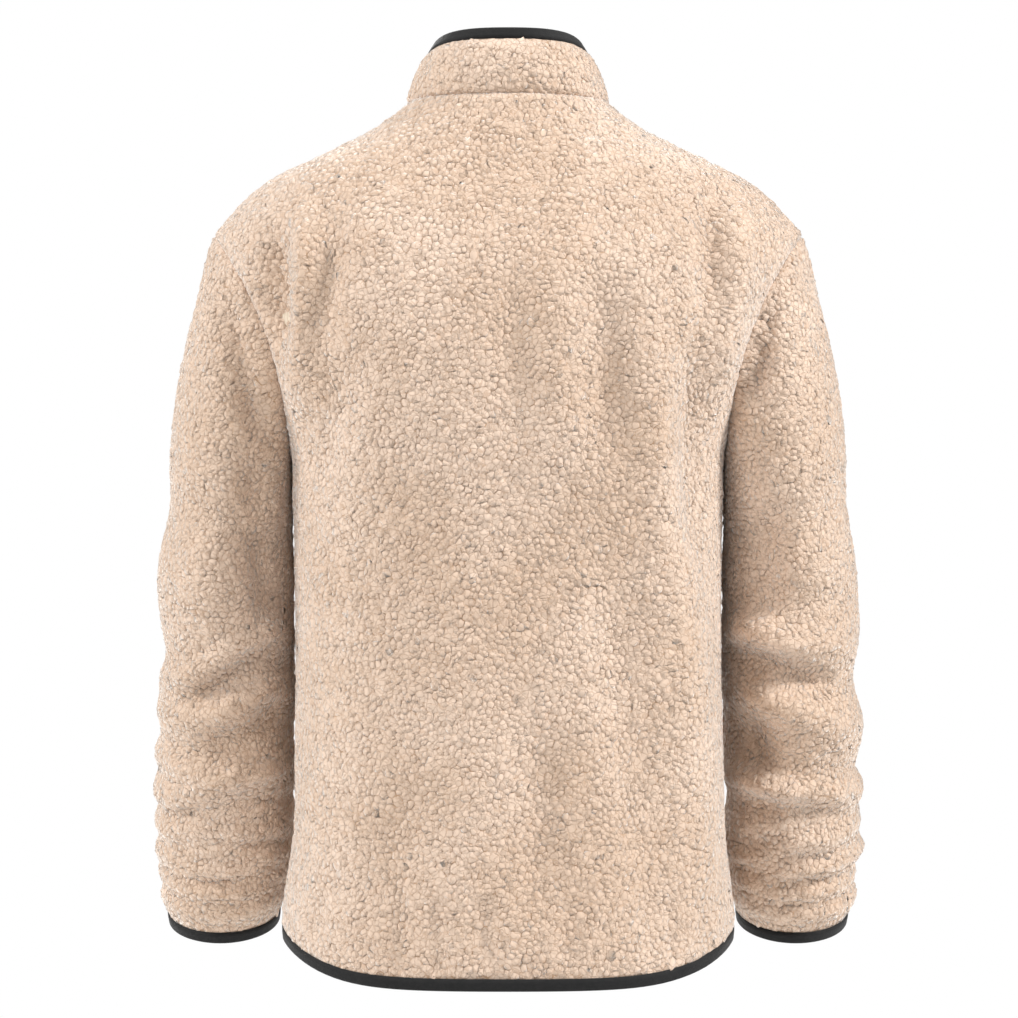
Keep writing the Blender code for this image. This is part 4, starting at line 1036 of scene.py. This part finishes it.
# Small gathers along the hem behind, and the rumples of the sleeves, which only the pile shows.
gatherPlaces = (0.084, 0.056, 0.019, -0.047, -0.112, -0.129)
hemGathers = listing(
    foldColumns,
    *[(x, -0.635, x + 0.02 * x, -0.697, 0.0065, -0.0045) for x in gatherPlaces],
    (-0.157, -0.640, -0.160, -0.690, 0.0065, -0.0045),
    (0.130, -0.620, 0.160, -0.668, 0.0080, -0.0035),
)
leftRumples = listing(
    foldColumns,
    (0.228, -0.165, 0.200, -0.270, 0.012, -0.0060),
    (0.212, -0.244, 0.186, -0.285, 0.010, -0.0060),
    (0.205, -0.293, 0.202, -0.342, 0.014, -0.0085),
    (0.199, -0.350, 0.192, -0.424, 0.016, -0.0120),
    (0.246, -0.350, 0.238, -0.420, 0.019, 0.0055),
    (0.240, -0.455, 0.182, -0.430, 0.009, 0.0090),
    (0.256, -0.488, 0.192, -0.446, 0.010, -0.0110),
    (0.245, -0.500, 0.190, -0.478, 0.009, 0.0080),
    (0.197, -0.488, 0.194, -0.520, 0.012, -0.0080),
    (0.247, -0.527, 0.200, -0.515, 0.011, -0.0075),
    (0.262, -0.562, 0.184, -0.545, 0.009, 0.0070),
    (0.280, -0.584, 0.184, -0.570, 0.0065, -0.0085),
    (0.275, -0.607, 0.190, -0.610, 0.0060, -0.0070),
    (0.280, -0.628, 0.195, -0.628, 0.0055, -0.0065),
    (0.275, -0.646, 0.188, -0.644, 0.0050, -0.0055),
)
rightRumples = listing(
    foldColumns,
    (-0.206, -0.140, -0.196, -0.250, 0.013, -0.0060),
    (-0.204, -0.330, -0.205, -0.415, 0.020, -0.0110),
    (-0.182, -0.425, -0.240, -0.446, 0.010, 0.0085),
    (-0.190, -0.452, -0.270, -0.484, 0.010, -0.0100),
    (-0.190, -0.480, -0.245, -0.505, 0.010, 0.0070),
    (-0.190, -0.505, -0.206, -0.550, 0.015, -0.0110),
    (-0.182, -0.545, -0.240, -0.572, 0.009, 0.0085),
    (-0.200, -0.573, -0.275, -0.582, 0.008, -0.0090),
    (-0.190, -0.608, -0.280, -0.598, 0.007, -0.0080),
    (-0.192, -0.632, -0.280, -0.622, 0.006, -0.0070),
    (-0.200, -0.650, -0.275, -0.643, 0.005, -0.0050),
)


# How much a way turns to that of a seam, by distance from the seam.
def leanWith(way, seam, distance):
    share = np.exp(-((distance / bodySizes["seamTurn"]) ** 2))[:, None]
    return unit(way * (1 - share) + seam * share)


# Half a panel of the body as grids, from its middle to its side.
def halfPanel(face, levels, folds, mirror):
    sign = 1.0 if face == "back" else -1.0
    turnOver, flip = np.array([1.0, sign, 1.0]), np.array([mirror, 1, 1])
    shares, neckDrop = np.linspace(0, 1, bodySizes["columns"]), bodySizes["neckFrontDrop"]
    fade = bodySizes["foldFade"]
    rows = []
    for level in levels:
        start, inNeck = 0.0, False
        if face == "front":
            inNeck = level > -neckDrop
            start = max(zipSizes["halfGap"], necklineX(level) if inNeck else 0.0)
        place, way, toSide = torsoRow(face, level, shares, start)
        gain = bodySizes["foldGain"] + bodySizes["armholeGain"] * smoothStep(0.125, 0.16, place[:, 0])
        folded = gain * foldHeight(folds, place[:, 0] * mirror, place[:, 2])
        if face == "back":
            folded = folded + foldHeight(hemGathers, place[:, 0] * mirror, place[:, 2])
        rise = folded * (1 - np.exp(-((toSide / fade) ** 2)))
        fromStart = toSide[0] - toSide
        if inNeck:
            rise = rise * (1 - np.exp(-((fromStart / fade) ** 2)))
        outer = place + way * (rise * smoothStep(0.0, -0.03, level))[:, None]
        across = place[:, 0] / max(place[-1, 0], 1e-6)
        if armholeBottom < level <= armholeTop:
            way = leanWith(way, armholeNormal(np.array(armholeAngle(level))) * turnOver, toSide)
        else:
            outer[-1, 1] = sign * bodySizes["seamGap"] / 2
        if face == "back" and level > -0.03:
            seam = np.array([collarPoint(backTurn(x), 0.0)[1] for x in across])
            way = leanWith(way, seam, np.full(len(shares), level))
        if face == "front" and inNeck:
            seam = collarPoint(90 + math.degrees(math.asin(min(1.0, -level / neckDrop))), 0.0)[1]
            way = leanWith(way, seam, fromStart)
        deep = np.full(len(shares), bodySizes["wall"])
        sunk, tall = nearBinding(place[:, 2] - (bodySizes["hemSide"] - hemDrop(face, across)), deep)
        if face == "front" and not inNeck:
            tall = tall * (0.55 + 0.45 * smoothStep(0.0, 0.008, fromStart))  # shorter beside the zip
        rows.append((outer * flip, place * flip, way * flip, deep, sunk, tall))
    names = ("outer", "plain", "way", "deep", "sunk", "tall")
    return {n: np.array([row[k] for row in rows]) for k, n in enumerate(names)}


# The half turn round the neck of a point on the back neckline, from its share of the half width.
def backTurn(share):
    return math.degrees(math.asin(min(1.0, share) ** (float(torsoSize("squareness", 0.0)) / 2)))


def armholeAngle(level):
    angles = np.linspace(0, math.pi, 2001)
    return float(np.interp(-level, -ringPoint(leftRings, 0.0, angles)[:, 2], angles))


# The levels of a panel's rows: close together at the hem's binding, then even, then by the armhole's turn.
def panelLevels(top):
    aboveHem = (0.0, 0.003, 0.006, 0.0092, 0.0112, 0.0135, 0.0165, 0.021, 0.027)
    hem = [bodySizes["hemSide"] + d for d in aboveHem]
    body = list(np.arange(-0.648, armholeBottom - 0.004, 0.009)) + [armholeBottom]
    hole = list(ringPoint(leftRings, 0.0, np.linspace(math.pi, 0, 27)[1:])[:, 2])
    return hem + body + hole + top


def heightsAtHem(sheet):
    return sheet["plain"][0, :, 2] - bodySizes["hemSide"]


def buildBack():
    levels = panelLevels(list(np.arange(-0.103, -0.004, 0.0062)) + [0.0])
    halves = [halfPanel("back", levels, backFolds, mirror) for mirror in (-1, 1)]
    sheet = {n: np.concatenate([halves[0][n][:, :0:-1], halves[1][n]], axis=1) for n in halves[0]}
    middle = sheet["outer"].shape[1] // 2
    sheet["flat"] = flatten(sheet["plain"], heightsAtHem(sheet), lambda run, row: run[middle])
    return sheet


def buildFront(mirror):
    neckLevels = -bodySizes["neckFrontDrop"] * np.sin(np.radians(np.linspace(84, 2, 30)))
    levels = panelLevels(list(np.arange(-0.103, -0.064, 0.0065)) + list(neckLevels))
    sheet = halfPanel("front", levels, frontFolds, mirror)
    upright = 0.1  # how far from the middle the line is that stays straight in the cut

    def anchor(run, row):
        along = np.abs(row[:, 0])
        slope = (run[-1] - run[-5]) / max(along[-1] - along[-5], 1e-5)
        beyond = upright - along[-1]
        return float(np.interp(upright, along, run)) + max(0.0, beyond) * min(slope, 2.0)

    sheet["flat"] = flatten(sheet["plain"], heightsAtHem(sheet), anchor)
    return sheet


sleeveSizes = {
    "pointsRound": 73,
    "rowStep": 0.25,  # of a ring
    "cuffRows": 9,  # over the last two rings
    "underarm": 0.004,  # half the gap at the seam below the arm, in radians
    "rumpleGain": 1.15,
    "troughWidening": 2.2,  # of the backing below a trough, as its points are further apart
}


def buildSleeve(rings, creases, rumples, mirror):
    last = len(rings["outerLevel"]) - 1
    even = np.arange(0, last - 2, sleeveSizes["rowStep"])
    rows = np.concatenate([even, np.linspace(last - 2, last, sleeveSizes["cuffRows"])])[::-1]
    reach = math.pi - sleeveSizes["underarm"]
    angle = np.linspace(-reach, reach, sleeveSizes["pointsRound"])
    rowGrid, angleGrid = np.meshgrid(rows, angle, indexing="ij")
    outer, way = sleeveSurface(rings, creases, mirror, rowGrid, angleGrid)
    plain = ringPoint(rings, rowGrid, angleGrid)
    flip = np.array([mirror, 1, 1])
    fromCuff = np.linalg.norm(outer - outer[0], axis=-1)
    share = smoothStep(-0.2, 0.5, np.sin(angleGrid)) * smoothStep(0.0, 0.8, rowGrid)
    share = sleeveSizes["rumpleGain"] * share * smoothStep(0.010, 0.020, fromCuff)
    rumple = foldHeight(rumples, plain[..., 0] * mirror, plain[..., 2]) * share
    outer = outer + way * rumple[..., None]
    troughs = {**rumples, "width": rumples["width"] * sleeveSizes["troughWidening"]}
    troughs["height"] = np.minimum(rumples["height"], 0)
    below = foldHeight(troughs, plain[..., 0] * mirror, plain[..., 2]) * share
    sheet = {"outer": outer * flip, "plain": plain * flip, "way": way * flip}
    sheet["deep"] = bodySizes["wall"] + rumple - below
    sheet["sunk"], sheet["tall"] = nearBinding(fromCuff, bodySizes["wall"])
    fanRow = int(np.sum(rows >= len(fan)))
    middle = len(angle) // 2
    sheet["flat"] = flatten(sheet["plain"], np.zeros(len(angle)), lambda run, row: run[middle], fanRow)
    return sheet


def buildCollar():
    halfTurns = np.concatenate([np.linspace(0, 90, 20)[:-1], np.linspace(90, 176, 22)])
    high = np.array([np.linalg.norm(collarPoint(t, 1.0)[0] - collarPoint(t, 0.0)[0]) for t in halfTurns])
    flip = np.array([-1, 1, 1])
    rows = []
    for part in np.linspace(0, 1, 15):
        fromTop = (1 - part) * high
        rise = 1 - fromTop / high
        points, ways, deep = [], [], []
        for halfTurn, r in zip(halfTurns, rise):
            point, way = collarPoint(halfTurn, r)
            if r == 0.0:
                point = point + unit(collarPoint(halfTurn, 0.02)[0] - point) * collarSizes["seam"]
            points.append(point)
            ways.append(way)
            deep.append(collarThickness(halfTurn, r))
        points[-1][0] = zipSizes["halfGap"]
        ways[-1] = unit(ways[-1] * np.array([0, 1, 1]))
        deep = np.array(deep)
        sunk, tall = nearBinding(fromTop, deep)
        rows.append((np.array(points), np.array(ways), deep, sunk, tall))
    names = ("outer", "way", "deep", "sunk", "tall")
    sheet = {}
    for k, name in enumerate(names):
        half = np.array([row[k] for row in rows])
        other = half[:, :0:-1] * (flip if half.ndim == 3 else 1)
        sheet[name] = np.concatenate([other, half], axis=1)
    sheet["plain"] = sheet["outer"]
    # The cut is a straight band: its length is the mean of the rows, its height each column's own.
    across = np.linalg.norm(np.diff(sheet["plain"], axis=1), axis=2).mean(axis=0)
    upward = np.linalg.norm(np.diff(sheet["plain"], axis=0), axis=2)
    run = np.concatenate([[0], np.cumsum(across)])
    rise = np.concatenate([np.zeros((1, len(run))), np.cumsum(upward, axis=0)])
    sheet["flat"] = np.stack([np.tile(run - run[-1] / 2, (len(rise), 1)), rise], axis=2)
    return sheet


# (length along the first row, length from the first row to the last, area) of a sheet's flat cut.
def cutSize(sheet):
    flat = sheet["flat"]
    a, b, c, d = flat[:-1, :-1], flat[:-1, 1:], flat[1:, 1:], flat[1:, :-1]
    area = float(np.abs(np.cross(c - a, d - b)).sum() / 2)
    wide, long = np.ptp(flat[..., 0]), np.ptp(flat[..., 1])
    return float(wide), float(long), area


# A U of tape folded over the cloth's edge, from two rows of the cloth: the edge, and one further in.
# Returns the tape and its length.
def buildBinding(name, edgeRows):
    height, play, thickness = (bindingSizes[n] for n in ("height", "play", "thickness"))
    inside = bindingSizes["pressedHalf"] + play
    outside, bottom = inside + thickness, -play - thickness
    bend = [math.radians(a) for a in (90, 60, 30, 0, -30, -60, -90)]
    outerSide = [(outside, height), (outside + 0.0002, height * 0.55), (outside, height * 0.15)]
    fold = [(outside * math.sin(a), bottom * math.cos(a) * 0.999) for a in bend]
    innerSide = [(-x, y) for x, y in outerSide[::-1]]
    hollow = [(-inside, height), (-inside, 0.0008), (-inside * 0.6, -play)]
    profile = outerSide + fold + innerSide + hollow + [(-x, y) for x, y in hollow[::-1]]
    (edge, ways), (upper, upperWays) = [((o + i) / 2, unit(o - i)) for o, i in edgeRows]
    high = np.linalg.norm(upper - edge, axis=1)
    rings = []
    for e, n, u, m, h in zip(edge, ways, upper, upperWays, high):
        rings.append([e + (u - e) * y / h + unit(n + (m - n) * y / h) * x for x, y in profile])
    return skinRings(name, rings, elastic), float(stepsOf(edge).sum())


zipSizes = {
    "halfGap": 0.006,  # from the centre front to the cloth's edge beside the zip
    "tapeWidth": 0.015,
    "tapeSeat": 0.010,  # from the front's edge in to the line of points that the tape lies on
    "tapeEnds": (0.0006, 0.0004),  # how far the tape stays inside the cloth's lower and upper edge
    "pitch": 0.0026,  # from tooth to tooth
    "box": 0.0110,  # the tape's length without teeth, at the box
    "slider": 0.0104,  # and at the slider
    "firstTooth": {1: 0.00065, -1: 0.00195},  # the teeth of the two sides take turns
    "toothSeat": 0.0008,  # how far the teeth's middle lies in front of the tape's line
    "toothHalfDepth": 0.0011,
    "toothBevel": 0.00018,
}


# The left tape's line up the front and the collar: points, and the ways across and out of the tape there.
def zipLine(front, neck):
    def inside(sheet, row, column):
        return sheet["outer"][row, column] - sheet["way"][row, column] * sheet["deep"][row, column]

    places, ways = [], []
    for r in range(len(front["plain"])):
        if front["plain"][r, 0, 2] < -bodySizes["neckFrontDrop"] - 0.001:
            seat = zipSizes["halfGap"] + zipSizes["tapeSeat"] * 0.9
            far = int(np.argmax(np.abs(front["plain"][r, :, 0]) > seat))
            places.append(inside(front, r, 0))
            ways.append(inside(front, r, far) - places[-1])
    for r in range(len(neck["outer"])):
        places.append(inside(neck, r, -1))
        ways.append(inside(neck, r, -3) - places[-1])
    places, ways = np.array(places), unit(np.array(ways))
    out = unit(np.cross(ways, np.gradient(places, axis=0)))
    out = out * -np.sign(out[:, 1:2])
    places = places - out * 2 * bodySizes["seamGap"]
    run = runAlong(places)
    low, high = zipSizes["tapeEnds"]
    at = np.arange(low, run[-1] - high, zipSizes["pitch"])
    even = [np.stack([np.interp(at, run, v[:, k]) for k in range(3)], axis=1) for v in (places, ways, out)]
    return even[0], unit(even[1]), unit(even[2])


# A woven tape beside the teeth, with a corded edge and a line of stitches where it's sewn to the front.
def buildTape(name, line, side):
    wide, halfGap = zipSizes["tapeWidth"], zipSizes["halfGap"]
    cord = [(0.0009, 0.0), (0.0013, 0.0006), (0.0022, 0.0007), (0.0030, 0.0002), (0.0060, 0.0)]
    stitched = [(0.0105, 0.0), (0.0110, -0.00012), (0.0115, 0.0), (wide - 0.0003, 0.0), (wide, -0.0003)]
    under = [(wide, -0.0006), (wide - 0.0003, -0.0008), (0.0060, -0.0008), (0.0013, -0.0008)]
    under.append((0.0009, -0.0005))
    flip, upright = np.array([side, 1, 1]), np.array([0, 1, 1])
    rings = []
    for p, a, o in zip(*line):
        flat, middle = unit(o * upright), p * upright
        ring = []
        for x, rise in cord + stitched + under:
            reach = max(0.0, x - halfGap)
            point = middle + np.array([min(x, halfGap), 0, 0]) + a * reach + (o if reach else flat) * rise
            ring.append(point * flip)
        rings.append(ring)
    return skinRings(name, rings, weave)


# One side's moulded teeth, from the box at the bottom to the slider.
def buildTeeth(name, line, side):
    places, _, out = line
    run, upright = runAlong(places), np.array([0, 1, 1])
    first = zipSizes["box"] + zipSizes["firstTooth"][side]
    along = unit(np.gradient(places, axis=0))
    spots, turns = [], []
    for s in np.arange(first, run[-1] - zipSizes["slider"], zipSizes["pitch"]):
        p, o, u = (np.array([np.interp(s, run, v[:, k]) for k in range(3)]) for v in (places, out, along))
        o, u = unit(o * upright), unit(u * upright)
        x = np.cross(o, u)
        x = x * np.sign(x[0]) * side
        turns += list(Matrix(np.stack([x, np.cross(u, x), u], axis=1).tolist()).to_quaternion())
        spots.append(p * upright + o * zipSizes["toothSeat"])
    mesh = bpy.data.meshes.new(name)
    mesh.from_pydata(spots, [], [])
    mesh.attributes.new("turn", "QUATERNION", "POINT").data.foreach_set("value", turns)
    return runGroup(newObject(name, mesh), alongLine, {"Piece": tooth, "Finish": resin})


# A tooth: a head past the middle of the zip, a waist, and a foot moulded round the tape's cord.
def buildTooth():
    bm = bmesh.new()
    outline = [(-0.0011, 0.00055), (-0.0003, 0.00075), (0.0004, 0.0005), (0.0014, 0.0006), (0.0030, 0.0006)]
    outline += [(x, -z) for x, z in outline[::-1]]
    depth = zipSizes["toothHalfDepth"]
    front, back = ([bm.verts.new((x, y, z)) for x, z in outline] for y in (depth, -depth))
    bm.faces.new(front)
    bm.faces.new(back[::-1])
    for k in range(len(outline)):
        m = (k + 1) % len(outline)
        bm.faces.new((front[m], front[k], back[k], back[m]))
    bmesh.ops.recalc_face_normals(bm, faces=bm.faces)
    bmesh.ops.bevel(bm, geom=bm.edges[:], offset=zipSizes["toothBevel"], segments=1, affect="EDGES")
    made = newObject("toothShape", newMesh("toothShape", bm))
    made.hide_render = True
    return made


pileCells, alongLine = pileGroup(), alongGroup()


# Puts a finished piece in the frame: it rides on the jacket and may stand for a solid, which it hides. Its
# slot and cut arguments are not used.
def settle(piece, slot, node=None, **cut):
    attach(piece, "jacket")
    if node:
        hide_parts(node)


# A sheet's row at a distance from its bound edge, as (outer, inner) of the pressed wall.
def edgeRow(sheet, row):
    way = sheet["way"][row]
    outer = sheet["outer"][row] - way * sheet["sunk"][row][:, None]
    inner = sheet["outer"][row] - way * (sheet["deep"] - sheet["sunk"])[row][:, None]
    return outer, inner


back, collar = buildBack(), buildCollar()
fronts = {"left": buildFront(1), "right": buildFront(-1)}
sleeves = {
    "left": buildSleeve(leftRings, leftCreases, leftRumples, 1),
    "right": buildSleeve(rightRings, rightCreases, rightRumples, -1),
}
print("forms worked out")

# Each piece of pile: its sheet, how far apart its curls are, the seed that scatters them, the solid it
# stands for, how it hangs, and what it is sewn to.
pilePieces = {
    "backPile": (back, 0.00605, 11, "back_panel", "hung", "collar"),
    "frontPile_left": (fronts["left"], 0.0064, 21, "front_left", "hung", "collar"),
    "frontPile_right": (fronts["right"], 0.0064, 31, "front_right", "hung", "collar"),
    "sleevePile_left": (sleeves["left"], 0.0056, 41, "sleeve_left", "hung", "back_panel"),
    "sleevePile_right": (sleeves["right"], 0.0056, 51, "sleeve_right", "hung", "back_panel"),
    "collarPile": (collar, 0.0056, 61, "collar", "gathered", "back_panel"),
}
for name, (sheet, spacing, seed, node, held, carrier) in pilePieces.items():
    piece = pileCloth(name, sheet, spacing, seed)
    wide, long, area = cutSize(sheet)
    settle(piece, "sherpa_fleece", node, flat=(wide, long), held=held, rests_on=[carrier], area=area)
    print(name, "cut", round(wide, 4), round(long, 4), round(area, 4))

hemRows = []
for row in (0, 3):
    right, left, behind = (edgeRow(s, row) for s in (fronts["right"], fronts["left"], back))
    hemRows.append([np.concatenate([right[k][:-1], behind[k], left[k][::-1][1:]]) for k in (0, 1)])
bindings = {
    "hemElastic": (hemRows, "hem_binding"),
    "collarElastic": ([edgeRow(collar, row) for row in (-1, -4)], "collar_binding"),
    "cuffElastic_left": ([edgeRow(sleeves["left"], row) for row in (0, 4)], "cuff_binding_left"),
    "cuffElastic_right": ([edgeRow(sleeves["right"], row) for row in (0, 4)], "cuff_binding_right"),
}
for name, (rows, node) in bindings.items():
    piece, length = buildBinding(name, rows)
    strip = (bindingSizes["strip"], length)
    settle(piece, "black_binding", node, flat=strip, held="stretched", rests_on=["back_panel"])
    print(name, "cut", bindingSizes["strip"], round(length, 4))

tooth = buildTooth()
line = zipLine(fronts["left"], collar)
tapeCut = (zipSizes["tapeWidth"], float(stepsOf(line[0]).sum()))
for side, sign in (("left", 1), ("right", -1)):
    tape, carrier = buildTape(f"zipTape_{side}", line, sign), [f"front_{side}"]
    settle(tape, "zip_tape", f"zip_tape_{side}", flat=tapeCut, held="stretched", rests_on=carrier)
    settle(buildTeeth(f"zipTeeth_{side}", line, sign), "zip_tape")
bpy.data.objects.remove(tooth)
for node in ("zip_box", "zip_slider", "zip_pull"):
    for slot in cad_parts[node].material_slots:
        slot.material = enamel
print("zip made, its tapes cut", round(tapeCut[0], 4), round(tapeCut[1], 4))

studio = {
    "floorSize": 1.2,
    "floorLevel": -1.35,
    "ambient": 0.52,  # the white surroundings' share of the light; the camera sees them fully white
    "target": (0, 0, -0.33),
    "sensor": 36.0,
    "widthSeen": 0.83476,  # at the middle of the jacket
    "camera": (-0.00082, 3.0, -0.3334),
}
lamps = {
    "key": ((1.9, 2.7, 1.2), 1.0, 46.0),
    "right": ((-2.8, 0.9, 1.6), 1.0, 132.0),
    "left": ((2.9, 0.4, 1.4), 1.0, 70.0),
    "front": ((1.2, -2.6, 1.2), 1.8, 60.0),
}

bm = bmesh.new()
bmesh.ops.create_grid(bm, x_segments=2, y_segments=2, size=studio["floorSize"])
floor = newObject("floor", newMesh("floor", bm))
floor.location = (0, 0, studio["floorLevel"])
pale, _, _ = newMaterial("paleFloor", {"Roughness": 0.9, "Base Color": colour(250, 250, 250)})
floor.data.materials.append(pale)

world = bpy.data.worlds.new("studio")
world.use_nodes = True
seen = Maker(world.node_tree).add("ShaderNodeLightPath", None, output="Is Camera Ray")
strength = seen * (1 - studio["ambient"]) + studio["ambient"]
background = world.node_tree.nodes["Background"]
background.inputs["Color"].default_value = (1, 1, 1, 1)
world.node_tree.links.new(strength.socket, background.inputs["Strength"])
bpy.context.scene.world = world


# A soft lamp that looks at the middle of the jacket.
def lamp(name, place, size, power):
    light = bpy.data.lights.new(name, "AREA")
    light.shape, light.size, light.energy = "DISK", size, power
    made = newObject(name, light)
    made.location = place
    made.rotation_euler = (Vector(studio["target"]) - Vector(place)).to_track_quat("-Z", "Y").to_euler()


for name, values in lamps.items():
    lamp(name, *values)

view = bpy.data.cameras.new("camera")
view.sensor_width = studio["sensor"]
view.lens = studio["sensor"] * studio["camera"][1] / studio["widthSeen"]
camera = newObject("camera", view)
camera.location = studio["camera"]
camera.rotation_euler = (math.radians(90), 0, math.radians(180))
bpy.context.scene.camera = camera
bpy.context.scene.view_settings.view_transform = "Standard"
print("floor, lamps and camera set")
